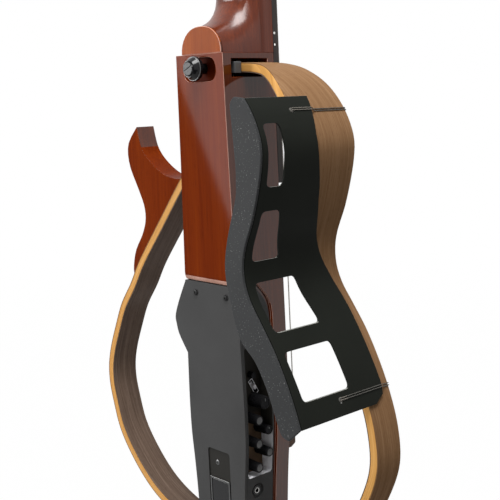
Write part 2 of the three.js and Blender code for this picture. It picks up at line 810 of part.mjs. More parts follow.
function rollerProfile(side) {
  const barrelInner = slotCentre - slotWidth / 2 + gap;
  const barrelOuter = slotCentre + slotWidth / 2 - gap;
  return [
    [0, rollerPinInset], [rollerPinRadius, rollerPinInset], [rollerPinRadius, barrelInner],
    [rollerBarrelRadius, barrelInner], [rollerBarrelRadius, barrelOuter], [rollerPinRadius, barrelOuter],
    [rollerPinRadius, gearInner], [gearRadius, gearInner], [gearRadius, gearOuter],
    [gearBossRadius, gearOuter], [gearBossRadius, gearOuter + gearBossLength],
    [0, gearOuter + gearBossLength],
  ].map(([radius, along]) => [radius, side * along]);
}

[1, -1].forEach((side) => {
  add(side > 0 ? 'tuner_plate_bass' : 'tuner_plate_treble', tunerPlate(side), nickelSilver, headGroup);
  rollerLevels.forEach((level, i) => {
    const string = side > 0 ? stringCount - i : 1 + i;
    const roller = turned('x', rollerProfile(side), point(0, rollerDepth, level), smallSides);
    add(`string_roller_${string}`, roller, brass, headGroup);
    const stem = turned('y', wormProfile, point(0, 0, 0), smallSides);
    const button = turned('y', buttonProfile, point(0, 0, 0), smallSides).scale(buttonFlatShare, 1, 1);
    const worm = join(stem, button).translate(side * wormX, 0, level + wormOffset);
    add(`tuner_worm_${string}`, worm, bone, headGroup);
  });
});

// Bridge, saddle and the pickup strip under the saddle
const bridgeFront = fingerboardRear + bridgeHeight;
const bridgeTopZ = saddleLevel + bridgeFoot;
const bridgeBottomZ = bridgeTopZ - bridgeLength;
const tieTopZ = bridgeBottomZ + tieBlockLength + bridgeBase;
const holeY = fingerboardRear + (bridgeBase + bridgeHeight) / 2;

function stringX(string, spread) {
  return spread * ((string - 1) / (stringCount - 1) - 1 / 2);
}

const strings = stringRadii.map((_, i) => i + 1);
const bridgeStep = fingerboardRear + bridgeBase;
const tieHoles = strings.map((string) => {
  const place = point(stringX(string, bridgeSpread), holeY, 0);
  return rod('z', stringHoleRadius, bridgeBottomZ - overrun, tieTopZ + bridgeBase, place, smallSides);
});
add('bridge', cut(
  slab('x', [
    [fingerboardRear, bridgeTopZ], [bridgeStep, bridgeTopZ], [bridgeFront, saddleLevel + bridgeRidge],
    [bridgeFront, saddleLevel - bridgeRidge], [bridgeStep, saddleLevel - bridgeRidge - bridgeBase],
    [bridgeStep, tieTopZ], [bridgeFront, tieTopZ], [bridgeFront, bridgeBottomZ + bridgeBase],
    [bridgeStep, bridgeBottomZ], [fingerboardRear, bridgeBottomZ],
  ], -bridgeHalfWidth, bridgeHalfWidth),
  box(
    -saddleHalfWidth - gap, saddleHalfWidth + gap, bridgeStep, bridgeFront + overrun,
    saddleLevel - saddleThickness / 2 - gap, saddleLevel + saddleThickness / 2 + gap,
  ),
  ...tieHoles,
), rosewood);
const pickupRear = bridgeStep + gap;
const saddleRear = pickupRear + pickupThickness + gap;
const saddleEdges = [saddleLevel - saddleThickness / 2, saddleLevel + saddleThickness / 2];
add('saddle_pickup', box(
  -saddleHalfWidth, saddleHalfWidth, pickupRear, pickupRear + pickupThickness, ...saddleEdges,
), steel);
const saddleTop = stringSaddleY - stringClearance;
add('saddle', slab('x', [
  [saddleRear, saddleEdges[0]], [saddleTop - saddleThickness / 2, saddleEdges[0]], [saddleTop, saddleLevel],
  [saddleTop, saddleEdges[1]], [saddleRear, saddleEdges[1]],
], -saddleHalfWidth, saddleHalfWidth), bone);

// Strings: from the tie block over saddle and nut to the rollers
function stringPath(string) {
  const radius = stringRadii[stringCount - string];
  const row = string > perSide ? stringCount - string : string - 1;
  const side = string > perSide ? 1 : -1;
  const rollerTopY = rollerDepth + rollerBarrelRadius + radius + gap;
  const rollerTop = point(side * slotCentre, rollerTopY, rollerLevels[row]).applyMatrix4(headMatrix);
  const nutX = stringX(string, nutSpread);
  const bridgeX = stringX(string, bridgeSpread);
  const path = [
    point(bridgeX, holeY, bridgeBottomZ),
    point(bridgeX, holeY, tieTopZ),
    point(bridgeX, stringSaddleY, saddleLevel),
    point(nutX, stringNutY, nutLevel + nutThickness),
    rollerTop,
  ];
  return tube(path, radius);
}

strings.forEach((string) => {
  add(`string_${string}`, stringPath(string), string > perSide ? woundString : nylon);
});

// Bent frames: maple between dark plies, glued up as one laminated piece each
const spineBody = slab('y', inset(spineOutline, -gap), -spineDepth, 2 * spineDepth);

add('bass_frame', bend(bassStations, frameThickness, 0), maple);

// Forked end block of the bass frame, and the thumbscrew that clamps it
const frameEnd = bassStations[0];
const frameEndX = frameEnd.at.x - Math.max(frameEnd.out.x * frameThickness, 0) - gap;
add('bass_frame_end_block', cut(
  join(
    box(-endBlockReach, frameEndX, endBlockRear, frameFront, -endBlockBottom, -endBlockTop),
    box(-endBlockReach, endBlockTail, endBlockRear, endBlockSplit, -endBlockBottom, -endBlockTop),
  ),
  box(
    -endBlockReach - overrun, thumbShaftRadius + forkPlay, 0, spineDepth,
    -thumbLevel - thumbShaftRadius - forkPlay, -thumbLevel + thumbShaftRadius + forkPlay,
  ),
), glossPlastic);
add('thumbscrew', cut(
  turned('y', [
    [0, thumbEnd], [thumbEndRadius, thumbEnd], [thumbRimRadius, thumbRim], [thumbRimRadius, thumbBack],
    [thumbStemRadius, thumbBack], [thumbStemRadius, pocketFloor - gap],
    [thumbShaftRadius, pocketFloor - gap], [thumbShaftRadius, thumbTip], [0, thumbTip],
  ], thumbPlace),
  box(
    -thumbEndRadius, thumbEndRadius, thumbEnd - overrun, thumbEnd + thumbSlotDepth,
    -thumbLevel - thumbSlotWidth / 2, -thumbLevel + thumbSlotWidth / 2,
  ),
), glossPlastic);

// Treble frame, its horn and the two screws between them
function stationAt(stations, level) {
  const next = stations.findIndex(({ at }) => -at.z >= level);
  return stations[next];
}

const hornScrewY = (hornRear + hornFront) / 2;

function hornScrew(level, grow) {
  const { at, out } = stationAt(trebleStations, level);
  const radius = hornScrewRadius + grow;
  const headRadius = hornScrewHeadRadius + grow;
  const headBase = grow > 0 ? -overrun : gap;
  const screw = turned('z', [
    [0, headBase], [headRadius, headBase], [headRadius, hornScrewHeadDepth + grow],
    [radius, hornScrewHeadDepth + grow], [radius, hornScrewLength + grow], [0, hornScrewLength + grow],
  ], point(0, 0, 0), smallSides);
  screw.applyQuaternion(new THREE.Quaternion().setFromUnitVectors(point(0, 0, 1), out));
  const start = at.clone().addScaledVector(out, -frameThickness);
  return screw.translate(start.x, hornScrewY, start.z);
}

const hornHoles = hornScrewLevels.map((level) => hornScrew(level, gap));
add('treble_frame', cut(bend(trebleStations, frameThickness, 0), ...hornHoles), maple);
hornScrewLevels.forEach((level, i) => add(`horn_screw_${i + 1}`, hornScrew(level, 0), steel));

const toBody = ([x, level]) => [x * boutHalfWidth, -level * spineLength];
const hornOutline = [
  ...smooth(hornCutawayShares.map(toBody), hornSteps),
  ...smooth(hornOuterShares.map(toBody), hornSteps).slice(1),
];
add('treble_horn', cut(
  slab('y', hornOutline, hornRear, hornFront), trebleClearance, spineBody, ...hornHoles,
), mahogany);

// Electronics housing behind the front board
const housingRear = coverThickness + gap;
const bulgeKnots = bulgeShares.map(([x, level]) => [x * spineWidest, -level * spineLength]);
const housingPlan = join(
  slab('y', spineOutline, -overrun, spineDepth),
  common(
    slab('y', smooth(bulgeKnots, roundSides), -overrun, bulgeFront),
    box(-spineWidest, 0, -overrun, bulgeFront, -housingBottom, -blockLength - gap),
  ),
);

function leaningPlate(rear, front) {
  return slab('x', [
    [rearFace(-blockLength) + rear, -blockLength - gap],
    [rearFace(-blockLength) + front, -blockLength - gap],
    [rearFace(-housingBottom) + front, -housingBottom],
    [rearFace(-housingBottom) + rear, -housingBottom],
  ], -spineWidest, spineWidest);
}

const housingSide = slab('x', [
  [rearFace(-blockLength) + housingRear, -blockLength - gap],
  [stepStart - grooveWidth - gap, -blockLength - gap],
  ...stepCurve(grooveWidth + gap, grooveDrop + gap),
  [coreRear - gap, -housingBottom],
  [rearFace(-housingBottom) + housingRear, -housingBottom],
], -spineWidest, spineWidest);
const cavityFront = coreRear - gap - housingFrontWall;
const cavityHalfWidth = spineHalfWidth(-housingBottom) - housingWall;
const cavityTop = blockLength + stepReach / 3;
const cavityBottom = housingBottom - housingWall;
const panelRear = panelFace - panelThickness;
const cavityInner = panelRear - panelSeat;
const recessFront = coreRear - recessFrontLip;
const recessRear = (z) => rearFace(z) + housingRear + recessLip;
const recessOutline = softened([
  [recessRear(-recessBottom), -recessBottom], [recessFront, -recessBottom],
  [recessFront, -recessTop], [recessRear(-recessTop), -recessTop],
], housingWall);
const jackDishes = jackLevels.map((level) => rod(
  'x', jackDishRadius, spineHalfWidth(-level) - jackDishDepth, spineWidest, point(0, jackDepth, -level),
));
const jackHoles = jackLevels.map((level) => rod(
  'x', jackRadius + gap, cavityInner - overrun, spineWidest, point(0, jackDepth, -level),
));
const coverScrewLevel = blockLength + coverScrewLevelShare * (recessTop - blockLength);
const coverScrewPlaces = [-1, 1].map((side) => [(side * coverScrewSpread) / 2, coverScrewLevel]);

function coverScrew([x, level], grow) {
  const seat = rearFace(-level);
  const radius = coverScrewRadius + grow;
  return turned('y', [
    [0, seat - gap - coverScrewHeadHeight], [coverScrewHeadRadius, seat - gap - coverScrewHeadHeight],
    [coverScrewHeadRadius, seat - gap], [radius, seat - gap],
    [radius, seat + coverScrewLength + grow], [0, seat + coverScrewLength + grow],
  ], point(x, 0, -level), smallSides);
}

const coverScrewHoles = coverScrewPlaces.map((place) => coverScrew(place, gap));
const housingShell = cut(
  common(housingPlan, housingSide),
  box(-cavityHalfWidth, cavityInner, -overrun, cavityFront, -cavityBottom, -cavityTop),
  box(
    cavityInner - overrun, panelFace, -overrun, cavityFront,
    -recessBottom - panelSeat, -recessTop + panelSeat,
  ),
  slab('x', recessOutline, panelFace - weld, spineWidest),
);
add('electronics_housing', cut(
  housingShell, ...jackHoles, ...jackDishes, ...coverScrewHoles,
), housingPlastic);

// Rear cover with the battery opening
const batteryDoorHalfWidth = batteryFrameHalfWidth - batteryFrameWidth - gap;
const batteryDoorTop = batteryFrameTop + batteryFrameWidth + gap;
const batteryDoorBottom = batteryFrameBottom - batteryFrameWidth - gap;
const batteryRecessOutline = rounded(
  -batteryRecessHalfWidth, batteryRecessHalfWidth, -batteryRecessBottom, -batteryRecessTop, housingWall,
);
const batteryRecess = common(
  slab('y', batteryRecessOutline, -overrun, spineDepth),
  leaningPlate(-overrun, batteryRecessDepth),
);
const batteryOpening = box(
  -batteryFrameHalfWidth + batteryFrameWidth, batteryFrameHalfWidth - batteryFrameWidth,
  -overrun, spineDepth,
  -batteryFrameBottom + batteryFrameWidth, -batteryFrameTop - batteryFrameWidth,
);
add('rear_cover', cut(
  common(housingPlan, leaningPlate(0, coverThickness)),
  batteryRecess, batteryOpening, ...coverScrewHoles,
), housingPlastic);
coverScrewPlaces.forEach((place, i) => add(`cover_screw_${i + 1}`, coverScrew(place, 0), steel));

// Battery frame, hinged door and two cells in their holder
const frameTopFace = batteryRecessDepth - gap;
const batteryFramePlan = box(
  -batteryFrameHalfWidth, batteryFrameHalfWidth, -overrun, spineDepth, -batteryFrameBottom, -batteryFrameTop,
);
add('battery_frame', cut(
  common(batteryFramePlan, leaningPlate(frameTopFace - batteryRecessDepth, frameTopFace)),
  batteryOpening,
), nickelSilver);
add('battery_door', common(
  box(
    -batteryDoorHalfWidth, batteryDoorHalfWidth, -overrun, spineDepth,
    -batteryDoorBottom, -batteryDoorTop,
  ),
  leaningPlate(gap, gap + batteryDoorThickness),
), glossPlastic);
const cellRear = rearFace(-batteryDoorBottom) + coverThickness + gap;
const cellBottom = -batteryDoorBottom;
const cellTop = cellBottom + cellLength;
const cells = [-1, 1].map((side) => turned('z', [
  [0, cellBottom], [cellRadius, cellBottom], [cellRadius, cellTop - cellNubLength],
  [cellNubRadius, cellTop - cellNubLength], [cellNubRadius, cellTop], [0, cellTop],
], point(side * cellRadius, cellRear + cellRadius, 0)));
const holderEdge = cellRear + cellRadius;
const holder = box(
  -2 * cellRadius, 2 * cellRadius, holderEdge, holderEdge + cellRadius + housingWall, cellBottom, cellTop,
);
add('battery_pack', join(holder, ...cells), steel);

// Control panel on the floor of the side recess
const recessMiddleRear = recessRear((-recessTop - recessBottom) / 2);
const controlY = (share) => recessMiddleRear + share * (recessFront - recessMiddleRear);
const controlZ = (share) => -recessTop - share * (recessBottom - recessTop);
const knobPlaces = knobs.map(({ depthShare, heightShare }) => (
  point(0, controlY(depthShare), controlZ(heightShare))
));
const buttonPlace = point(0, controlY(tunerButtonDepthShare), controlZ(tunerButtonHeightShare));
const switchPlace = point(0, controlY(switchDepthShare), controlZ(switchHeightShare));

function leaningBar(length, width, from, to) {
  const bar = box(from, to, -width / 2, width / 2, -length / 2, length / 2).rotateX(switchLean * degree);
  return bar.translate(0, switchPlace.y, switchPlace.z);
}

const panelFront = cavityFront - gap;
const panelTop = -recessTop + panelSeat - gap;
const panelBottom = -recessBottom - panelSeat + gap;
const panelPrism = slab('x', [
  [rearFace(panelBottom) + housingRear + gap, panelBottom], [panelFront, panelBottom],
  [panelFront, panelTop], [rearFace(panelTop) + housingRear + gap, panelTop],
], -spineWidest, spineWidest);
add('control_panel', cut(
  common(panelPrism, box(panelRear, panelFace - gap, 0, spineDepth, -spineLength, 0)),
  ...knobPlaces.map((place) => rod('x', knobShaftRadius + gap, 0, spineWidest, place, smallSides)),
  rod('x', tunerButtonRadius + gap, 0, spineWidest, buttonPlace, smallSides),
  leaningBar(switchLength, switchWidth, 0, spineWidest),
), panelPlastic);

const knobFace = panelFace + knobLength;
knobs.forEach(({ name, radius }, i) => {
  add(name, turned('x', [
    [0, panelFace - knobShaftLength], [knobShaftRadius, panelFace - knobShaftLength],
    [knobShaftRadius, panelFace], [radius, panelFace],
    [radius * knobTaperShare, knobFace], [radius * knobCapShare, knobFace],
    [radius * knobCapShare, knobFace - knobCapDepth], [0, knobFace - knobCapDepth],
  ], knobPlaces[i]), knobPlastic);
});
const buttonFlangeRadius = tunerButtonRadius + tunerButtonFlange;
add('tuner_button', turned('x', [
  [0, panelRear - gap - tunerButtonFlange], [buttonFlangeRadius, panelRear - gap - tunerButtonFlange],
  [buttonFlangeRadius, panelRear - gap], [tunerButtonRadius, panelRear - gap],
  [tunerButtonRadius, panelFace + tunerButtonLength], [0, panelFace + tunerButtonLength],
], buttonPlace, smallSides), knobPlastic);
const switchRear = panelRear - gap - switchThickness;
add('power_switch', join(
  leaningBar(switchThumbLength, switchWidth - 2 * gap, switchRear, panelFace + switchThumbHeight),
  leaningBar(switchPlateLength, switchWidth + switchMargin, switchRear, panelRear - gap),
), panelPlastic);

// Potentiometers behind the panel, on their own small board
const controlBoardFace = panelFace - knobShaftLength - gap;
const boardPlateFace = controlBoardFace - potLength;
add('circuit_board', join(
  common(panelPrism, box(
    boardPlateFace - boardPlateThickness, boardPlateFace, 0, spineDepth, -spineLength, 0,
  )),
  ...knobPlaces.map(({ y, z }) => box(
    boardPlateFace - gap, controlBoardFace,
    y - potHalfSize, y + potHalfSize, z - potHalfSize, z + potHalfSize,
  )),
), boardGreen);

// Jacks in dished seats
jackLevels.forEach((level, i) => {
  const face = spineHalfWidth(-level) - jackDishDepth + jackProud;
  const place = point(0, jackDepth, -level);
  add(jackNames[i], cut(
    rod('x', jackRadius, face - jackLength, face, place),
    rod('x', jackBore, face - jackLength + housingWall, face + overrun, place, smallSides),
  ), nickelSilver);
});

// Tail block that takes the lower ends of both frames, and the strap pin
const tailTop = -housingBottom - gap;
const lowerEnds = [bassStations, trebleStations].map((stations) => (
  bend(stations, frameThickness + tailPocketGap, tailPocketGap, tailPocketGap)
));
const pinPlace = point(0, strapPinDepth, 0);
const pinBase = -spineLength - gap;
const pinEnd = pinBase - strapPinLength;
const screwTip = pinBase + strapScrewLength;
add('tail_block', cut(
  box(-tailBlockHalfWidth, tailBlockHalfWidth, rearFace(tailTop), coreRear - gap, -spineLength, tailTop),
  ...lowerEnds,
  rod('z', strapScrewRadius + gap, pinEnd, screwTip + gap, pinPlace, smallSides),
), housingPlastic);
add('strap_pin', turned('z', [
  [0, pinEnd], [strapPinHeadRadius, pinEnd], [strapPinHeadRadius, pinEnd + strapPinHead],
  [strapPinNeckRadius, pinEnd + 2 * strapPinHead], [strapPinNeckRadius, pinBase - strapPinFoot],
  [strapPinFootRadius, pinBase - strapPinFoot / 2], [strapPinFootRadius, pinBase],
  [strapScrewRadius, pinBase], [strapScrewRadius, screwTip], [0, screwTip],
], pinPlace), steel);

// Side support: the sheet follows the bass frame's outer face
const sheetFrontTable = sheetFrontShares.map(([level, depth]) => (
  [level * spineLength, depth * spineDepth]
));
const fineStations = frameStations(bassFrameShares, frameSteps * frameSteps);
const sheetStations = Array.from({ length: sheetSteps + 1 }, (_, i) => {
  const level = sheetTop + (i / sheetSteps) * (sheetBottom - sheetTop);
  const station = stationAt(fineStations, level);
  return {
    ...station,
    front: interpolate(sheetFrontTable, level),
    rear: flangeRearFace(station.at.z) + flangeThickness + gap,
  };
});
const windows = windowShares.map(({ top, bottom, rear, front }) => slab('x', softened([
  [rear[0] * spineDepth, -top * spineLength], [front[0] * spineDepth, -top * spineLength],
  [front[1] * spineDepth, -bottom * spineLength], [rear[1] * spineDepth, -bottom * spineLength],
], windowRadius), 0, boutHalfWidth + overrun));

function cordHole({ levelShare, holeShare }) {
  const { at, out } = stationAt(fineStations, levelShare * spineLength);
  const drill = rod('z', cordHoleRadius, -overrun, overrun, point(0, 0, 0), smallSides);
  drill.applyQuaternion(new THREE.Quaternion().setFromUnitVectors(point(0, 0, 1), out));
  return drill.translate(at.x, holeShare * spineDepth, at.z);
}

const sheetOuter = sheetGap + sheetThickness;
add('support_sheet', cut(
  bend(sheetStations, -sheetGap, sheetOuter),
  ...windows,
  ...cordTies.map(cordHole),
), sheetPlastic);

// Rear flange: flat, its outer edge follows the sheet
const flangeOuter = sheetStations.filter(({ at }) => -at.z > flangeTop && -at.z < flangeTip)
  .map(({ at, out }) => at.clone().addScaledVector(out, sheetOuter)).map(({ x, z }) => [x, z]);
const flangeInner = smooth(flangeInnerShares.map(toBody), frameSteps);
const flangeOutline = [...flangeOuter, ...flangeInner.reverse()];
const flangeSlab = slab('x', [
  [flangeRearFace(0), 0], [flangeRearFace(0) + flangeThickness, 0],
  [flangeRearFace(-spineLength) + flangeThickness, -spineLength],
  [flangeRearFace(-spineLength), -spineLength],
], 0, boutHalfWidth + overrun);
add('support_flange', common(slab('y', flangeOutline, -2 * spineDepth, 0), flangeSlab), sheetPlastic);

// Cords: two turns through a hole in the sheet and round the frame
function tieCord({ levelShare, holeShare }) {
  const { at, out, along, rear } = stationAt(fineStations, levelShare * spineLength);
  const hole = holeShare * spineDepth;
  const front = frameFrontEdge(at.z) + cordRadius + gap;
  const outside = sheetOuter + cordRadius + gap;
  const inside = -frameThickness - cordRadius - gap;
  const behind = rear - cordRadius - gap;
  const corners = [
    [outside, hole], [outside, front], [inside, front], [inside, behind], [-cordRadius - gap, hole],
  ];
  const bends = corners.flatMap(([offset, depth], i) => {
    const here = new THREE.Vector2(offset, depth);
    const before = new THREE.Vector2(...corners[(i + corners.length - 1) % corners.length]);
    const after = new THREE.Vector2(...corners[(i + 1) % corners.length]);
    const enter = here.clone().add(before.sub(here).setLength(cordCornerRadius / 2));
    const leave = here.clone().add(after.sub(here).setLength(cordCornerRadius / 2));
    return [enter, leave];
  });
  const count = bends.length * cordTurns;
  const path = Array.from({ length: count - 1 }, (_, i) => {
    const { x, y } = bends[(i + bends.length - 3) % bends.length];
    const drift = (i / bends.length - cordTurns / 2) * cordPitch;
    return at.clone().addScaledVector(out, x).addScaledVector(along, drift).setY(y);
  });
  return tube(path, cordRadius);
}

cordTies.forEach((tie) => add(tie.name, tieCord(tie), cordFibre));

// The hanging point, at the back of the neck behind the nut, is the origin
instrument.position.set(0, neckNutDepth - spineDepth, -nutLevel);
const root = new THREE.Group();
root.name = 'silent_guitar_root';
root.add(instrument);

export default root;
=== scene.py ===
import math

import bmesh
import bpy
from mathutils import Matrix, Vector


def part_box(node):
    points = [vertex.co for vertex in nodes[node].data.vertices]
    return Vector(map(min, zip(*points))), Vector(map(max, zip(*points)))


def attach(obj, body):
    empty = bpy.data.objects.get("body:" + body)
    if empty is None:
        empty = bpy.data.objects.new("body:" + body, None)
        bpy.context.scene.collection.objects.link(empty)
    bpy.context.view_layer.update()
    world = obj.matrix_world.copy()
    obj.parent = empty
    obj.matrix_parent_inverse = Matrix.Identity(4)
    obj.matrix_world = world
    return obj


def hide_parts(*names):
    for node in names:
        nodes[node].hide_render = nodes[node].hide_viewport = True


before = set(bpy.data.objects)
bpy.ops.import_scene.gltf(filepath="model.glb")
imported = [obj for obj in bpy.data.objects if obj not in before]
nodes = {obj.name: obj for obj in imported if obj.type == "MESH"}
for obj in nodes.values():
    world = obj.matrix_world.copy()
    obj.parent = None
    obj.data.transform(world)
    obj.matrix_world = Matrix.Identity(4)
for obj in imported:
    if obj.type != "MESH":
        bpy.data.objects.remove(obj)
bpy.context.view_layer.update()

# Body millimetres to row metres: X bass side, Y from the back to the strings, Z up, zero at the body joint
rowShift = Vector((0, -0.0367, -0.325))
spine = {"length": 445, "depth": 58.2, "boutHalfWidth": 178, "rearLean": 0.0135, "blockLength": 196.5}
headSeat = {"origin": (0, 58.2, 330.6), "tilt": 13}


def place(x, y, z):
    return Vector((x, y, z)) * 0.001 + rowShift


def rearFace(z):
    return -z * spine["rearLean"]


def nodeBox(name):  # lowest and highest corner in body millimetres
    low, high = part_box(name)
    return (Vector(low) - rowShift) * 1000, (Vector(high) - rowShift) * 1000


# Camera
camera = {
    "spot": (0.64727, -0.57585, -0.35950),
    "right": (0.6772755, 0.7349322, -0.0342434),
    "up": (-0.0736530, 0.1140373, 0.9907425),
    "back": (0.7320336, -0.6684835, 0.1313646),
    "lens": 71.1412, "sensor": 36, "shift": -0.05, "near": 0.01,
}
bpy.ops.object.camera_add()
cameraObject = bpy.context.object
cameraObject.name = "photoCamera"
cameraObject.data.sensor_width = camera["sensor"]
cameraObject.data.lens = camera["lens"]
cameraObject.data.shift_y = camera["shift"]
cameraObject.data.clip_start = camera["near"]
turn = Matrix((camera["right"], camera["up"], camera["back"])).transposed()
cameraObject.matrix_world = Matrix.Translation(camera["spot"]) @ turn.to_4x4()
bpy.context.scene.camera = cameraObject
print("camera set")


# Materials
class Wire:  # one socket of a material; arithmetic on it adds Math nodes
    def __init__(self, finish, socket):
        self.finish = finish
        self.socket = socket

    def reckon(self, operation, first, second):
        return self.finish.node("Math", {"operation": operation}, {0: first, 1: second})

    def __add__(self, other):
        return self.reckon("ADD", self, other)

    def __radd__(self, other):
        return self.reckon("ADD", other, self)

    def __sub__(self, other):
        return self.reckon("SUBTRACT", self, other)

    def __rsub__(self, other):
        return self.reckon("SUBTRACT", other, self)

    def __mul__(self, other):
        return self.reckon("MULTIPLY", self, other)

    def __rmul__(self, other):
        return self.reckon("MULTIPLY", other, self)

    def __pow__(self, other):
        return self.reckon("POWER", self, other)


class Finish:  # one material round its Principled shader
    def __init__(self, name, **values):
        self.material = bpy.data.materials.new(name)
        self.material.use_nodes = True
        self.tree = self.material.node_tree
        self.shader = self.tree.nodes["Principled BSDF"]
        self.set(**values)

    def set(self, **values):
        names = {
            "color": "Base Color", "roughness": "Roughness", "metallic": "Metallic", "coat": "Coat Weight",
            "coatRoughness": "Coat Roughness", "coatIor": "Coat IOR", "normal": "Normal",
            "specular": "Specular IOR Level",
        }
        for key, value in values.items():
            self.link(self.shader.inputs[names[key]], value)

    def link(self, socket, value):
        if isinstance(value, Wire):
            self.tree.links.new(value.socket, socket)
        elif isinstance(value, tuple) and len(value) == 3 and socket.type == "RGBA":
            socket.default_value = (*value, 1)
        else:
            socket.default_value = value

    def node(self, kind, settings=None, sockets=None, output=0):
        node = self.tree.nodes.new("ShaderNode" + kind)
        for key, value in (settings or {}).items():
            if key == "stops":
                ramp = node.color_ramp
                while len(ramp.elements) < len(value):
                    ramp.elements.new(0.5)
                for element, (at, color) in zip(ramp.elements, value):
                    element.position = at
                    element.color = (*color, 1)
            else:
                setattr(node, key, value)
        for key, value in (sockets or {}).items():
            self.link(node.inputs[key], value)
        return Wire(self, node.outputs[output])

    def spot(self, stretch=(1, 1, 1), source="Object"):
        where = self.node("TexCoord", output={"Object": 3, "UV": 2}[source])
        return self.node("Mapping", None, {"Vector": where, "Scale": stretch})

    def axis(self, letter):  # one object coordinate, in metres
        where = self.node("TexCoord", output=3)
        return self.node("SeparateXYZ", None, {0: where}, output="XYZ".index(letter))

    def noise(self, where, scale, detail=4, rough=0.55, distortion=0):
        sockets = {"Vector": where, "Scale": scale, "Detail": detail, "Roughness": rough, "Distortion": distortion}
        return self.node("TexNoise", None, sockets)

    def spread(self, value, low, high, floor=0, top=1):
        sockets = {0: value, 1: low, 2: high, 3: floor, 4: top}
        return self.node("MapRange", {"clamp": True}, sockets)

    def mix(self, factor, first, second, kind="MIX"):
        settings = {"data_type": "RGBA", "blend_type": kind}
        return self.node("Mix", settings, {0: factor, 6: first, 7: second}, output=2)

    def ramp(self, value, *stops):
        return self.node("ValToRGB", {"stops": stops}, {0: value})

    def bump(self, height, distance, strength=1.0):
        return self.node("Bump", None, {"Height": height, "Distance": distance, "Strength": strength})


def lacqueredWood(name, look):
    finish = Finish(
        name, roughness=0.5, specular=look["specular"], coat=look["coat"], coatRoughness=look["gloss"],
        coatIor=look.get("coatIor", 1.2),
    )
    along, source = look.get("along", (1, 1, 0.02)), look.get("source", "Object")
    fine = finish.noise(finish.spot(along, source), look["fine"], 5, 0.6, 0.2)
    broad = finish.noise(finish.spot(along, source), look["broad"], 3, 0.5, 0.6)
    short = tuple(share * 4 if share < 0.5 else share for share in along)
    fleck = finish.noise(finish.spot(short, source), look["fine"] * 2.5, 2, 0.5)
    tone = fine * 0.55 + broad * 0.45
    color = finish.ramp(tone, (0.34, look["dark"]), (0.5, look["middle"]), (0.66, look["light"]))
    pores = finish.spread(fleck, 0.60, 0.70)
    color = finish.mix(pores * look["pores"], color, tuple(part * 0.4 for part in look["dark"]))
    height = tone - pores * 0.3
    finish.set(
        color=color, normal=finish.bump(height, 0.0001, 0.12),
        roughness=finish.spread(fine, 0.3, 0.7, 0.44, 0.56),
    )
    return finish.material


def mouldedPlastic(name, color, grain=0.5, roughness=0.5, speck=0.0, coat=0.0, specular=0.05):
    finish = Finish(name, roughness=roughness, specular=specular, coat=coat, coatRoughness=0.08, coatIor=1.4)
    texture = finish.noise(finish.spot(), 1500, 3, 0.6)
    cloud = finish.noise(finish.spot(), 22, 3, 0.5)
    shade = finish.spread(cloud, 0.3, 0.7, 0.92, 1.08) * finish.spread(texture, 0.3, 0.7, 0.9, 1.1)
    grey = finish.node("CombineColor", None, {0: shade, 1: shade, 2: shade})
    tint = finish.mix(1.0, color, grey, "MULTIPLY")
    if speck:  # pale dust on a matt face
        dust = finish.spread(finish.noise(finish.spot(), 1100, 1, 0.4), 0.70, 0.74)
        tint = finish.mix(dust * speck, tint, (0.5, 0.5, 0.48))
    finish.set(
        color=tint, normal=finish.bump(texture, 0.00006 * grain, 0.5),
        roughness=finish.spread(texture, 0.3, 0.7, roughness - 0.06, roughness + 0.08),
    )
    return finish.material


def workedMetal(name, color, roughness=0.25, brushed=(1, 1, 1), scale=900):
    metal = Finish(name, metallic=1.0, roughness=roughness)
    lines = metal.noise(metal.spot(brushed), scale, 3, 0.6)
    worn = metal.noise(metal.spot(), 90, 3, 0.6)
    tone = metal.mix(metal.spread(worn, 0.35, 0.7), color, tuple(part * 0.82 for part in color))
    metal.set(
        color=tone, roughness=metal.spread(lines, 0.3, 0.7, roughness * 0.7, roughness * 1.5),
        normal=metal.bump(lines, 0.00003, 0.4),
    )
    return metal.material


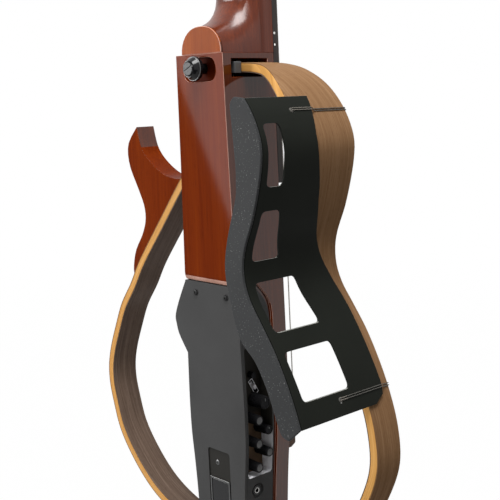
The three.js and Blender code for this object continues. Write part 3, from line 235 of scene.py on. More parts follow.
# Woods: three tones of the grain, how dark the pores are, how fine the figure is, and the lacquer
woods = {
    "glossMahogany": {
        "dark": (0.112, 0.0130, 0.0006), "middle": (0.138, 0.0180, 0.0008), "light": (0.165, 0.0240, 0.0011),
        "pores": 0.3, "fine": 420, "broad": 60, "coat": 0.26, "gloss": 0.05, "specular": 0.0,
    },
    # a darker copy of the mahogany for the side faces: painted shade, under a thicker lacquer
    "shadedSideMahogany": {
        "dark": (0.050, 0.0080, 0.0010), "middle": (0.070, 0.0120, 0.0014), "light": (0.098, 0.0175, 0.0020),
        "pores": 0.3, "fine": 420, "broad": 60, "coat": 1.0, "coatIor": 1.5, "gloss": 0.05, "specular": 0.0,
    },
    "neckMahogany": {
        "dark": (0.060, 0.0080, 0.0010), "middle": (0.084, 0.0125, 0.0014), "light": (0.115, 0.0185, 0.0020),
        "pores": 0.3, "fine": 420, "broad": 60, "coat": 0.8, "coatIor": 1.45, "gloss": 0.24, "specular": 0.0,
    },
    # a lighter copy of the mahogany for the heel cap: painted light
    "litCapMahogany": {
        "dark": (0.205, 0.040, 0.005), "middle": (0.250, 0.054, 0.008), "light": (0.305, 0.073, 0.012),
        "pores": 0.3, "fine": 420, "broad": 60, "coat": 0.2, "gloss": 0.05, "specular": 0.0,
    },
    # a paler copy of the mahogany for eased edges: a painted highlight
    "paintedHighlightEdge": {
        "dark": (0.38, 0.20, 0.15), "middle": (0.48, 0.27, 0.21), "light": (0.58, 0.34, 0.27),
        "pores": 0.2, "fine": 420, "broad": 60, "coat": 0.4, "gloss": 0.05, "specular": 0.0,
    },
    # a darker copy of the mahogany without lacquer for the thumbscrew's pocket: painted shade
    "pocketShadeMahogany": {
        "dark": (0.060, 0.0060, 0.0006), "middle": (0.078, 0.0085, 0.0008), "light": (0.100, 0.013, 0.0012),
        "pores": 0.3, "fine": 420, "broad": 60, "coat": 0.0, "gloss": 0.05, "specular": 0.02,
    },
    "rosewoodPly": {
        "dark": (0.148, 0.078, 0.037), "middle": (0.195, 0.108, 0.054), "light": (0.248, 0.145, 0.077),
        "pores": 0.5, "fine": 700, "broad": 110, "coat": 0.06, "gloss": 0.12, "specular": 0.0,
        "along": (0.02, 1, 1), "source": "UV",
    },
    "mapleCore": {
        "dark": (0.40, 0.185, 0.042), "middle": (0.52, 0.262, 0.070), "light": (0.65, 0.36, 0.12),
        "pores": 0.10, "fine": 800, "broad": 160, "coat": 0.3, "gloss": 0.15, "specular": 0.05,
        "along": (0.02, 1, 1), "source": "UV",
    },
    "darkInnerPly": {
        "dark": (0.085, 0.055, 0.040), "middle": (0.135, 0.092, 0.068), "light": (0.200, 0.145, 0.110),
        "pores": 0.5, "fine": 700, "broad": 110, "coat": 0.3, "gloss": 0.1, "specular": 0.03,
        "along": (0.02, 1, 1), "source": "UV",
    },
    "oiledFingerboard": {
        "dark": (0.014, 0.011, 0.010), "middle": (0.028, 0.023, 0.021), "light": (0.050, 0.042, 0.038),
        "pores": 0.6, "fine": 500, "broad": 90, "coat": 0.0, "gloss": 0.3, "specular": 0.2,
    },
    "bridgeRosewood": {
        "dark": (0.030, 0.014, 0.009), "middle": (0.055, 0.028, 0.017), "light": (0.095, 0.052, 0.032),
        "pores": 0.6, "fine": 500, "broad": 90, "coat": 0.1, "gloss": 0.2, "specular": 0.2, "along": (0.03, 1, 1),
    },
}
wood = {name: lacqueredWood(name, look) for name, look in woods.items()}

# Plastics, bone, cord and the like
plastics = {
    "housingPlastic": {"color": (0.052, 0.052, 0.052), "grain": 1.0, "roughness": 0.55},
    "flangePlastic": {"color": (0.033, 0.034, 0.035), "grain": 1.0, "roughness": 0.5, "speck": 0.25},
    "sheetPlastic": {"color": (0.010, 0.011, 0.009), "grain": 0.7, "roughness": 0.45, "specular": 0.03},
    "knobPlastic": {"color": (0.010, 0.010, 0.011), "grain": 0.6, "roughness": 0.4},
    "knobCap": {"color": (0.15, 0.15, 0.15), "grain": 0.6, "roughness": 0.45},
    "blockPlastic": {"color": (0.070, 0.071, 0.073), "grain": 0.4, "roughness": 0.35, "coat": 0.6},
    "glossBlack": {"color": (0.006, 0.006, 0.007), "grain": 0.2, "roughness": 0.2, "coat": 0.5},
    "sheetEdgeHighlight": {"color": (0.17, 0.17, 0.155), "grain": 0.6, "roughness": 0.5},
    # painted shade for the battery recess
    "recessShadePlastic": {"color": (0.022, 0.021, 0.019), "grain": 1.0, "roughness": 0.55},
    "faceBlack": {"color": (0.006, 0.006, 0.007), "grain": 0.2, "roughness": 0.25, "coat": 0.22},
    "palePlastic": {"color": (0.80, 0.80, 0.83), "grain": 0.8, "roughness": 0.5},
    "boneWhite": {"color": (0.78, 0.72, 0.58), "grain": 0.3, "roughness": 0.35, "coat": 0.2},
    "markWhite": {"color": (0.78, 0.77, 0.74), "grain": 0.3, "roughness": 0.5},
    "cordFibre": {"color": (0.090, 0.086, 0.078), "grain": 2.0, "roughness": 0.8},
    "cordPale": {"color": (0.17, 0.155, 0.135), "grain": 2.0, "roughness": 0.8},
    "cellWrap": {"color": (0.05, 0.16, 0.30), "grain": 0.3, "roughness": 0.35},
    "boardGreen": {"color": (0.012, 0.10, 0.045), "grain": 0.4, "roughness": 0.45},
    "clearNylon": {"color": (0.55, 0.53, 0.47), "grain": 0.2, "roughness": 0.25, "coat": 0.3},
}
plastic = {name: mouldedPlastic(name, **look) for name, look in plastics.items()}

# Metals and the wound strings
steel = workedMetal("brightSteel", (0.62, 0.61, 0.59), 0.22)
darkSteel = workedMetal("darkSteel", (0.10, 0.10, 0.10), 0.3)
blackSteel = workedMetal("blackSteel", (0.018, 0.018, 0.018), 0.4)
nickelSilver = workedMetal("nickelSilver", (0.68, 0.66, 0.61), 0.25, (1, 0.1, 1))
brass = workedMetal("goldPlate", (0.80, 0.58, 0.26), 0.2)
wound = Finish("silverWinding", metallic=1.0, roughness=0.35)
turnsOfWire = wound.node("TexWave", {"wave_type": "BANDS", "bands_direction": "Z"}, {
    "Vector": wound.spot(), "Scale": 520.0, "Distortion": 0.0, "Detail": 0.0,
})
wound.set(
    color=wound.mix(turnsOfWire, (0.22, 0.21, 0.19), (0.60, 0.58, 0.54)),
    normal=wound.bump(turnsOfWire, 0.0001, 0.8),
)
woundWire = wound.material

shell = Finish("pearlButton", roughness=0.3, specular=0.4, coat=0.5, coatRoughness=0.05, coatIor=1.4)
swirl = shell.noise(shell.spot(), 110, 4, 0.6, 2.5)
shell.set(
    color=shell.ramp(swirl, (0.3, (0.42, 0.40, 0.35)), (0.5, (0.72, 0.70, 0.64)), (0.62, (0.86, 0.84, 0.78))),
    roughness=shell.spread(swirl, 0.3, 0.7, 0.2, 0.4),
)
pearl = shell.material


def recessShadeAndLight(name, top, foot, depths):  # painted shadow of the flange, dark at the top of the recess, and a painted patch of light, paler from a depth downwards; the scuff noise also roughens the shadow's edge
    lining = Finish(name, roughness=0.6, specular=0.08)
    scuffsAndShadeEdge = lining.noise(lining.spot(), 160, 4, 0.6)
    share = lining.spread(lining.axis("Z") * -1000 + scuffsAndShadeEdge * 6, *depths)
    lining.set(
        color=lining.mix(share, top, foot), roughness=lining.spread(scuffsAndShadeEdge, 0.3, 0.7, 0.5, 0.7),
        normal=lining.bump(lining.noise(lining.spot(), 1500, 3), 0.00006, 0.5),
    )
    return lining.material


# wall and panel: painted shadow above, painted light below
recessWallShadeAndLight = recessShadeAndLight("recessWallShadeAndLight", (0.024, 0.022, 0.018), (0.92, 0.92, 0.95), (655, 661))
recessPanelShadeAndLight = recessShadeAndLight("recessPanelShadeAndLight", (0.022, 0.020, 0.017), (0.095, 0.060, 0.036), (640, 652))
print("materials made")


# Modelling helpers
def leaveAll():
    if bpy.context.object and bpy.context.object.mode != "OBJECT":
        bpy.ops.object.mode_set(mode="OBJECT")
    bpy.ops.object.select_all(action="DESELECT")


def take(piece):
    leaveAll()
    piece.select_set(True)
    bpy.context.view_layer.objects.active = piece


def edit(piece, kind="FACE"):  # edit mode with nothing selected
    take(piece)
    bpy.ops.object.mode_set(mode="EDIT")
    bpy.ops.mesh.select_mode(type=kind)
    bpy.ops.mesh.select_all(action="DESELECT")
    return bmesh.from_edit_mesh(piece.data)


def chooseEdges(piece, test):
    mesh = bmesh.from_edit_mesh(piece.data)
    mesh.normal_update()
    bpy.ops.mesh.select_mode(type="EDGE")
    bpy.ops.mesh.select_all(action="DESELECT")
    for edge in mesh.edges:
        if test(edge):
            edge.select_set(True)
    bmesh.update_edit_mesh(piece.data)


def settle(piece):
    take(piece)
    bpy.ops.object.transform_apply(location=True, rotation=True, scale=True)
    return piece


def paint(piece, *materials):
    piece.data.materials.clear()
    for material in materials:
        piece.data.materials.append(material)


def paintFaces(piece, slot, test):  # test reads a face's middle in body millimetres, and its normal
    for face in piece.data.polygons:
        if test((face.center - rowShift) * 1000, face.normal):
            face.material_index = slot


def modify(piece, kind, **settings):
    take(piece)
    modifier = piece.modifiers.new(kind.title(), kind)
    for key, value in settings.items():
        setattr(modifier, key, value)
    bpy.ops.object.modifier_apply(modifier=modifier.name)


def smooth(piece, angle):
    take(piece)
    bpy.ops.object.shade_smooth_by_angle(angle=math.radians(angle))


def soften(piece, width, segments=3, angle=30, smoothAngle=35):
    modify(
        piece, "BEVEL", width=width * 0.001, segments=segments, limit_method="ANGLE",
        angle_limit=math.radians(angle), harden_normals=False, use_clamp_overlap=True, miter_outer="MITER_ARC",
    )
    smooth(piece, smoothAngle)
    modify(piece, "WEIGHTED_NORMAL", keep_sharp=True, weight=80)


def fromNode(nodeName, name, *materials, flat=0.4):  # a merged copy of a CAD node, its flat faces joined
    take(nodes[nodeName])
    bpy.ops.object.duplicate()
    piece = bpy.context.object
    piece.name = name
    edit(piece, "VERT")
    bpy.ops.mesh.select_all(action="SELECT")
    bpy.ops.mesh.remove_doubles(threshold=0.000002)
    bpy.ops.mesh.customdata_custom_splitnormals_clear()
    bpy.ops.mesh.dissolve_limited(angle_limit=math.radians(flat))
    take(piece)
    paint(piece, *materials)
    return piece


def keep(piece, body, *nodeNames):  # rides on a body and stands for the CAD nodes named
    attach(piece, body)
    if nodeNames:
        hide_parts(*nodeNames)


def block(name, low, high, material, width):  # an eased block between two corners in body millimetres
    low, high = place(*low), place(*high)
    leaveAll()
    bpy.ops.mesh.primitive_cube_add(size=1, location=(low + high) / 2)
    piece = bpy.context.object
    piece.name = name
    piece.scale = high - low
    settle(piece)
    paint(piece, material)
    soften(piece, width, 2)
    return piece


def uprightTo(axis):  # turns up to an axis
    return Vector((0, 0, 1)).rotation_difference(Vector(axis)).to_matrix().to_4x4()


# A profile of (radius, along) points in millimetres, from one end of the axis to the other, spun round it
def turnedPiece(name, profile, at, axis, material, steps, ribs=None):
    leaveAll()
    bpy.ops.mesh.primitive_plane_add(size=0.001)
    piece = bpy.context.object
    piece.name = name
    mesh = edit(piece, "VERT")
    bmesh.ops.delete(mesh, geom=list(mesh.verts), context="VERTS")
    line = [mesh.verts.new((radius * 0.001, 0, along * 0.001)) for radius, along in profile]
    for first, second in zip(line, line[1:]):
        mesh.edges.new((first, second))
    bmesh.update_edit_mesh(piece.data)
    bpy.ops.mesh.select_all(action="SELECT")
    bpy.ops.mesh.spin(steps=steps, angle=math.tau, center=(0, 0, 0), axis=(0, 0, 1))
    bpy.ops.mesh.select_all(action="SELECT")
    bpy.ops.mesh.remove_doubles(threshold=0.000003)
    bpy.ops.mesh.normals_make_consistent(inside=False)
    take(piece)
    if ribs:  # every second column between two levels stands back
        for vertex in piece.data.vertices:
            column = round(math.atan2(vertex.co.y, vertex.co.x) / math.tau * steps)
            if ribs["from"] < vertex.co.z * 1000 < ribs["to"] and column % 2:
                share = 1 - ribs["depth"] / (vertex.co.xy.length * 1000)
                vertex.co.x *= share
                vertex.co.y *= share
    piece.matrix_world = Matrix.Translation(at) @ uprightTo(axis)
    settle(piece)
    paint(piece, material)
    smooth(piece, 40)
    return piece


def strand(name, points, radius, material, sides):  # a round wire through points in row metres
    leaveAll()
    bpy.ops.curve.primitive_nurbs_path_add()
    piece = bpy.context.object
    piece.name = name
    curve = piece.data
    curve.splines.clear()
    line = curve.splines.new("POLY")
    line.points.add(len(points) - 1)
    for point, spot in zip(line.points, points):
        point.co = (*spot, 1)
    curve.dimensions = "3D"
    curve.bevel_depth = radius * 0.001
    curve.bevel_resolution = sides
    curve.use_fill_caps = True
    take(piece)
    bpy.ops.object.convert(target="MESH")
    piece = bpy.context.object
    paint(piece, material)
    smooth(piece, 60)
    return piece


def cutBlock(piece, sizes, where):  # takes a block of millimetre sizes out of a piece
    leaveAll()
    bpy.ops.mesh.primitive_cube_add(size=0.001)
    cutter = bpy.context.object
    cutter.name = "cutter"
    cutter.scale = sizes
    settle(cutter)
    cutter.matrix_world = where
    settle(cutter)
    modify(piece, "BOOLEAN", object=cutter, operation="DIFFERENCE", solver="EXACT")
    take(cutter)
    bpy.ops.object.delete()


def screwHead(name, at, axis, radius, height, material, body, *nodeNames):  # at is the top of its rim
    axis = Vector(axis).normalized()
    profile = [
        (0, -height), (radius * 0.62, -height), (radius * 0.96, -0.25), (radius, 0.05), (radius * 0.82, 0.38),
        (radius * 0.45, 0.52), (0, 0.55),
    ]
    piece = turnedPiece(name, profile, at, axis, material, 32)
    crown = Matrix.Translation(at + axis * 0.00055) @ uprightTo(axis)
    long, slim, deep = radius * 0.55 * 2, radius * 0.2, 0.9 * 2
    for sizes in ((slim, long, deep), (long, slim, deep)):  # the cross
        cutBlock(piece, sizes, crown)
    smooth(piece, 30)
    keep(piece, body, *nodeNames)


def surfaceAt(piece, start, direction):  # where a ray from a body point meets a piece, in row metres
    bpy.context.view_layer.update()
    hit, where, *_ = piece.ray_cast(place(*start), Vector(direction))
    return where if hit else place(*start)


def smoothLine(spots, steps):  # even steps along a smooth curve through 3-D spots
    knots = [Vector(spot) for spot in spots]
    knots = [2 * knots[0] - knots[1], *knots, 2 * knots[-1] - knots[-2]]
    dense = []
    for a, b, c, d in zip(knots, knots[1:], knots[2:], knots[3:]):
        t0, t1, t2 = (b - a).length ** 0.5, (c - b).length ** 0.5, (d - c).length ** 0.5
        for i in range(24):
            t = i / 24
            m1 = ((b - a) / t0 - (c - a) / (t0 + t1) + (c - b) / t1) * t1
            m2 = ((c - b) / t1 - (d - b) / (t1 + t2) + (d - c) / t2) * t1
            bend = (-3 * b + 3 * c - 2 * m1 - m2) * t * t
            dense.append(b + m1 * t + bend + (2 * b - 2 * c + m1 + m2) * t ** 3)
    dense.append(knots[-2])
    runs = [0]
    for first, second in zip(dense, dense[1:]):
        runs.append(runs[-1] + (second - first).length)
    points = []
    at = 0
    for i in range(steps + 1):
        goal = runs[-1] * i / steps
        while at + 2 < len(runs) and runs[at + 1] < goal:
            at += 1
        share = (goal - runs[at]) / max(runs[at + 1] - runs[at], 1e-9)
        points.append(dense[at].lerp(dense[at + 1], share))
    return points


# Stage and light
stage = {  # the floor glows white to the camera and fully so from "far" on; a lamp sees its color
    "floorLevel": -0.80, "halfSize": 6.0, "floorColor": (0.3, 0.3, 0.3), "nearGlow": 0.995, "far": (0.9, 1.8),
}
leaveAll()
bpy.ops.mesh.primitive_plane_add(size=stage["halfSize"] * 2, location=(0, 0, stage["floorLevel"]))
floor = settle(bpy.context.object)
floor.name = "floor"
pale = Finish("paleFloor", color=stage["floorColor"], roughness=0.9, specular=0.0)
rays = pale.tree.nodes.new("ShaderNodeLightPath")
seen = Wire(pale, rays.outputs["Is Camera Ray"]) + Wire(pale, rays.outputs["Is Glossy Ray"])
seen = seen + Wire(pale, rays.outputs["Is Transmission Ray"])
away = (pale.axis("X") ** 2 + pale.axis("Y") ** 2) ** 0.5
white = pale.spread(away, *stage["far"], stage["nearGlow"], 1)
glow = pale.node("Emission", None, {"Color": (1, 1, 1), "Strength": 1.0})
mixed = pale.node("MixShader", None, {0: seen * white, 1: Wire(pale, pale.shader.outputs[0]), 2: glow})
pale.tree.links.new(mixed.socket, pale.tree.nodes["Material Output"].inputs["Surface"])
paint(floor, pale.material)

# The key softbox is mirrored in the upper right of the gloss back; its edge runs down the back
lamps = {
    "keySoftbox": {
        "spot": (-1.078, -1.228, -0.48), "toward": (0.755, 0.655, 0), "roll": 17, "size": (0.45, 1.2), "power": 24,
    },
    "topSoftbox": {
        "spot": (0.40, -0.35, 1.0), "toward": (-0.35, 0.3, -1.25), "roll": 0, "size": (0.8, 0.8), "power": 42,
    },
    "edgeStrip": {
        "spot": (-0.30, -2.0, -0.35), "toward": (0.15, 1, 0), "roll": 0, "size": (0.3, 1.6), "power": 5,
    },
    "sideSoftbox": {
        "spot": (1.9, 0.5, 0.3), "toward": (-1.9, -0.5, -0.7), "roll": 0, "size": (1.2, 1.2), "power": 3,
    },
}
for lampName, lamp in lamps.items():
    leaveAll()
    bpy.ops.object.light_add(type="AREA", location=lamp["spot"])
    light = bpy.context.object
    light.name = lampName
    light.data.shape = "RECTANGLE"
    light.data.size, light.data.size_y = lamp["size"]
    light.data.energy = lamp["power"]
    facing = Vector(lamp["toward"]).to_track_quat("-Z", "Y").to_matrix()
    light.rotation_euler = (facing @ Matrix.Rotation(math.radians(lamp["roll"]), 3, "Z")).to_euler()

room = {"seen": 1.0, "ambient": 0.28}  # white to the camera and in reflections, dim as light
world = bpy.context.scene.world or bpy.data.worlds.new("studio")
bpy.context.scene.world = world
world.use_nodes = True
tree = world.node_tree
tree.nodes.clear()
paths = tree.nodes.new("ShaderNodeLightPath")
anySeen = paths.outputs["Is Camera Ray"]
for rayKind in ("Is Glossy Ray", "Is Transmission Ray"):
    larger = tree.nodes.new("ShaderNodeMath")
    larger.operation = "MAXIMUM"
    tree.links.new(anySeen, larger.inputs[0])
    tree.links.new(paths.outputs[rayKind], larger.inputs[1])
    anySeen = larger.outputs[0]
both = tree.nodes.new("ShaderNodeMixShader")
tree.links.new(anySeen, both.inputs[0])
for key, socket in (("ambient", 1), ("seen", 2)):
    background = tree.nodes.new("ShaderNodeBackground")
    background.inputs["Strength"].default_value = room[key]
    background.inputs["Color"].default_value = (1, 1, 1, 1)
    tree.links.new(background.outputs[0], both.inputs[socket])
output = tree.nodes.new("ShaderNodeOutputWorld")
tree.links.new(both.outputs[0], output.inputs["Surface"])
bpy.context.scene.view_settings.view_transform = "Standard"
print("stage lit")


# Bent side frames: maple between two dark plies
frameBuild = {
    "wall": 8.3, "ply": 0.9, "plyInset": 0.15, "front": 47.4, "lean": 0.025, "steps": 132, "across": 5,
    "coreEdge": 0.5, "plyEdge": 0.3,
}
# Shares along a frame: x of the half width, level of the length and rear edge of the depth
bassShares = [
    (0.0787, 0.0178, 0.3557), (0.1705, 0.0184, 0.3557), (0.3298, 0.0238, 0.244), (0.4511, 0.0362, 0.0687),
    (0.5848, 0.0661, -0.1306), (0.6826, 0.109, -0.2234), (0.7376, 0.1578, -0.2577), (0.7388, 0.1924, -0.2457),
    (0.6904, 0.2744, -0.1546), (0.6371, 0.3283, -0.0258), (0.6236, 0.3551, 0.0515), (0.6303, 0.3883, 0.1375),
    (0.664, 0.4202, 0.1976), (0.7309, 0.456, 0.2302), (0.8112, 0.5, 0.2405), (0.8944, 0.5596, 0.2388),
    (0.9455, 0.6067, 0.2337), (0.982, 0.6524, 0.2216), (1, 0.7011, 0.2096), (0.9944, 0.7326, 0.201),
    (0.9635, 0.7708, 0.1942), (0.8933, 0.8247, 0.189), (0.7528, 0.8888, 0.189), (0.5955, 0.9371, 0.1976),
    (0.3933, 0.9685, 0.2062), (0.1348, 0.9831, 0.2148),
]
trebleShares = [
    (-0.1685, 0.182, 0.2985), (-0.3067, 0.2472, 0.2861), (-0.4904, 0.3371, 0.2689), (-0.6798, 0.4315, 0.2509),
    (-0.7545, 0.4787, 0.2418), (-0.8494, 0.5303, 0.232), (-0.9084, 0.5798, 0.2225), (-0.9697, 0.6404, 0.2109),
    (-0.9916, 0.6809, 0.2032), (-0.9876, 0.7191, 0.1959), (-0.9579, 0.7618, 0.1877), (-0.8933, 0.8247, 0.1757),
    (-0.7551, 0.8888, 0.1634), (-0.5938, 0.9371, 0.1542), (-0.3933, 0.9685, 0.1482), (-0.1348, 0.9831, 0.1454),
]


def frameStations(shares, steps):
    scaled = [(x * spine["boutHalfWidth"], rear * spine["depth"], -z * spine["length"]) for x, z, rear in shares]
    points = smoothLine(scaled, steps)
    side = math.copysign(1, scaled[0][0])
    stations = []
    run = 0
    for i, here in enumerate(points):
        before, after = points[max(i - 1, 0)], points[min(i + 1, steps)]
        along = Vector((after.x - before.x, 0, after.z - before.z)).normalized()
        out = Vector((-along.z, 0, along.x)) * side
        run += (here - before).length if i else 0
        stations.append({
            "at": Vector((here.x, 0, here.z)), "out": out, "along": along, "run": run,
            "rear": here.y, "front": frameBuild["front"] + frameBuild["lean"] * here.z,
        })
    return stations


def bentPly(name, stations, outside, thickness, material, inset=0.0):
    across = frameBuild["across"]
    leaveAll()
    bpy.ops.mesh.primitive_grid_add(x_subdivisions=len(stations) - 1, y_subdivisions=across, size=1)
    ply = bpy.context.object
    ply.name = name
    columns = across + 1
    order = sorted(ply.data.vertices, key=lambda v: (round(v.co.x, 5), round(v.co.y, 5)))
    where = {}
    for i, vertex in enumerate(order):
        station = stations[i // columns]
        rear, front = station["rear"] + inset, station["front"] - inset
        depth = rear + (front - rear) * (i % columns) / across
        spot = station["at"] + station["out"] * (outside - thickness / 2)
        vertex.co = place(spot.x, depth, spot.z)
        where[vertex.index] = (station["run"] * 0.001, depth * 0.001)
    sheetMap = ply.data.uv_layers.active.data
    for loop in ply.data.loops:
        sheetMap[loop.index].uv = where[loop.vertex_index]
    settle(ply)
    modify(ply, "SOLIDIFY", thickness=thickness * 0.001, offset=0, use_even_offset=True)
    sheetMap = ply.data.uv_layers.active.data
    for loop in ply.data.loops:  # the map goes on across the thickness, so that edges show grain along their run
        run, depth = where[loop.vertex_index % len(where)]
        if loop.vertex_index >= len(where):
            depth += thickness * 0.001
        sheetMap[loop.index].uv = (run, depth)
    edit(ply)
    bpy.ops.mesh.select_all(action="SELECT")
    bpy.ops.mesh.normals_make_consistent(inside=False)
    take(ply)
    paint(ply, material)
    return ply


def laminatedFrame(name, shares, body, node):
    stations = frameStations(shares, frameBuild["steps"])
    ply, wall, inset = frameBuild["ply"], frameBuild["wall"], frameBuild["plyInset"]
    core = bentPly(name + "MapleCore", stations, -ply, wall - 2 * ply, wood["mapleCore"])
    outer = bentPly(name + "OuterPly", stations, 0, ply, wood["rosewoodPly"], inset)
    inner = bentPly(name + "InnerPly", stations, -(wall - ply), ply, wood["darkInnerPly"], inset)
    for piece in (core, outer, inner):
        soften(piece, frameBuild["coreEdge" if piece == core else "plyEdge"], 2, 50, 50)
        keep(piece, body, node)
    return stations


bassStations = laminatedFrame("bass", bassShares, "bass_side", "bass_frame")
laminatedFrame("treble", trebleShares, "instrument", "treble_frame")
print("frames bent")


# Spine, neck, heel cap, horn: gloss mahogany with eased edges
spineLook = {
    "edge": 1.2, "footEase": 7.0, "footDepth": 3.2, "near": 0.6,
    "pocketHalf": 22, "pocketLow": -24, "pocketTop": -1.6, "pocketRear": 0.8, "pocketFront": 7.0,
}
gloss = (wood["glossMahogany"], wood["shadedSideMahogany"], wood["paintedHighlightEdge"])


def paintGloss(piece):  # the faces to the sides are painted darker, as painted shade, and have the thicker lacquer; the eased rear edges towards +X and up or down are painted paler, a painted highlight
    paintFaces(piece, 1, lambda at, normal: abs(normal.x) > 0.9 or normal.y > 0.9)
    paintFaces(piece, 2, lambda at, normal: normal.y < -0.25 and (normal.x > 0.25 or abs(normal.z) > 0.25))


spineBlock = fromNode("body_spine", "spineBlock", *gloss, wood["pocketShadeMahogany"])
edit(spineBlock, "EDGE")


def isFoot(edge):  # the rear bottom edge of the thick block
    points = [(vertex.co - rowShift) * 1000 for vertex in edge.verts]
    near = spineLook["near"]
    return all(abs(p.z + spine["blockLength"]) < near and p.y < rearFace(p.z) + near for p in points)


chooseEdges(spineBlock, isFoot)
bpy.ops.mesh.bevel(offset=spineLook["footEase"] * 0.001, segments=4, affect="EDGES", clamp_overlap=True)
flatten = spineLook["footDepth"] / spineLook["footEase"]  # the bevel is pushed in to a taller, flatter one
for vertex in bmesh.from_edit_mesh(spineBlock.data).verts:
    at = (vertex.co - rowShift) * 1000
    depth, level = at.y - rearFace(at.z), at.z + spine["blockLength"]
    reach = spineLook["footEase"] + spineLook["near"]
    if -spineLook["near"] < level < reach and 0.05 < depth < reach:
        vertex.co.y -= depth * (1 - flatten) * 0.001
bmesh.update_edit_mesh(spineBlock.data)
soften(spineBlock, spineLook["edge"])
paintGloss(spineBlock)


def inPocket(at, normal):  # the thumbscrew's pocket is painted darker, as painted shade, and has no lacquer
    level = spineLook["pocketLow"] < at.z < spineLook["pocketTop"]
    return level and abs(at.x) < spineLook["pocketHalf"] and spineLook["pocketRear"] < at.y < spineLook["pocketFront"]


paintFaces(spineBlock, 3, inPocket)
keep(spineBlock, "instrument", "body_spine")

# The neck's gloss is softer, and the head is faced with rosewood in front
neckLook = {"edge": 0.8, "veneerFacing": 0.99}
neckAndHeel = fromNode("neck", "neckAndHeel", wood["neckMahogany"], wood["bridgeRosewood"])
veneerFace = Matrix.Rotation(math.radians(headSeat["tilt"]), 3, "X") @ Vector((0, 1, 0))
paintFaces(neckAndHeel, 1, lambda at, normal: (
    at.z > headSeat["origin"][2] and normal.dot(veneerFace) > neckLook["veneerFacing"]
))
soften(neckAndHeel, neckLook["edge"])
keep(neckAndHeel, "instrument", "neck")

capAndHorn = {
    # the heel cap's lighter mahogany is painted light
    "heelCap": {"node": "heel_cap", "face": "litCapMahogany", "edge": 0.5},
    "trebleHorn": {"node": "treble_horn", "face": "glossMahogany", "edge": 2.2},
}
for name, look in capAndHorn.items():
    piece = fromNode(look["node"], name, wood[look["face"]], wood["shadedSideMahogany"], wood["paintedHighlightEdge"])
    soften(piece, look["edge"])
    paintGloss(piece)
    keep(piece, "instrument", look["node"])
print("woodwork eased")


# Fingerboard with metal frets and side dots
board = {
    "scale": 650, "edge": 0.25, "fretHeight": 1.0, "fretFoot": 0.08, "dottedFrets": (5, 7, 9), "dotRadius": 1.05,
    "dotDepth": 60.2, "pairLevel": 11.6, "pairSpread": 9.8,
}
high = nodeBox("fingerboard")[1]
fingerboard = fromNode("fingerboard", "fingerboardWithFrets", wood["oiledFingerboard"], nickelSilver)
fretsFrom = high.y - board["fretHeight"] + board["fretFoot"]
paintFaces(fingerboard, 1, lambda at, normal: at.y > fretsFrom)
soften(fingerboard, board["edge"], 2)
keep(fingerboard, "instrument", "fingerboard")


def fretLevel(number):
    return board["scale"] * (2 ** (-number / 12) - 0.5)


dotLevels = [(fretLevel(n) + fretLevel(n - 1)) / 2 for n in board["dottedFrets"]]
dotLevels += [board["pairLevel"] + half * board["pairSpread"] / 2 for half in (-1, 1)]
radius = board["dotRadius"]
dot = [(0, -0.8), (radius, -0.8), (radius, 0.02), (radius * 0.7, 0.08), (0, 0.1)]
for i, dotLevel in enumerate(dotLevels):
    side = surfaceAt(fingerboard, (80, board["dotDepth"], dotLevel), (-1, 0, 0))
    keep(turnedPiece(f"sideDot{i + 1}", dot, side, (1, 0, 0), plastic["markWhite"], 24), "instrument")
print("fingerboard fretted")


# Electronics housing, cover, recesses
housing = {
    "edge": 0.8, "face": 22.0, "recessTop": -249.02, "recessBottom": -366.5, "recessRear": 3.5, "recessFront": 37.0,
}
housingShell = fromNode("electronics_housing", "housingShell", plastic["housingPlastic"], recessWallShadeAndLight)


def insideRecess(at, normal):  # the walls of the control recess
    level = housing["recessBottom"] - 0.3 < at.z < housing["recessTop"] + 0.3
    depth = housing["recessRear"] < at.y < housing["recessFront"] + 0.2
    return level and depth and at.x > housing["face"] - 0.1 and abs(normal.x) < 0.8


paintFaces(housingShell, 1, insideRecess)
soften(housingShell, housing["edge"])
keep(housingShell, "instrument", "electronics_housing")

# Solids whose edges are eased: node, piece, finish, edge and body
solids = [
    ("rear_cover", "rearCover", plastic["housingPlastic"], 0.7, "instrument"),
    ("tail_block", "tailBlock", plastic["housingPlastic"], 0.8, "instrument"),
    ("bass_frame_end_block", "endBlock", plastic["blockPlastic"], 0.6, "bass_side"),
    ("support_sheet", "supportSheet", plastic["sheetPlastic"], 0.5, "bass_side"),
    ("support_flange", "supportFlange", plastic["flangePlastic"], 0.8, "bass_side"),
    # the control panel is painted dark above and lighter below: painted shadow and painted light
    ("control_panel", "controlPanel", recessPanelShadeAndLight, 0.3, "instrument"),
    ("battery_frame", "batteryFrame", darkSteel, 0.4, "instrument"),
    ("battery_door", "batteryDoor", plastic["glossBlack"], 0.3, "battery_door"),
    ("bridge", "bridgeBlock", wood["bridgeRosewood"], 0.5, "instrument"),
    ("nut", "boneNut", plastic["boneWhite"], 0.3, "instrument"),
    ("saddle", "boneSaddle", plastic["boneWhite"], 0.3, "instrument"),
    ("saddle_pickup", "pickupStrip", steel, 0.2, "instrument"),
    ("battery_pack", "batteryCells", plastic["cellWrap"], 0.4, "instrument"),
    ("circuit_board", "circuitBoard", plastic["boardGreen"], 0.2, "instrument"),
    ("strap_pin", "strapPin", steel, 0.3, "instrument"),
    ("tuner_button", "tunerButton", plastic["knobPlastic"], 0.3, "tuner_button"),
    ("tuner_plate_bass", "tunerPlateBass", nickelSilver, 0.2, "instrument"),
    ("tuner_plate_treble", "tunerPlateTreble", nickelSilver, 0.2, "instrument"),
]


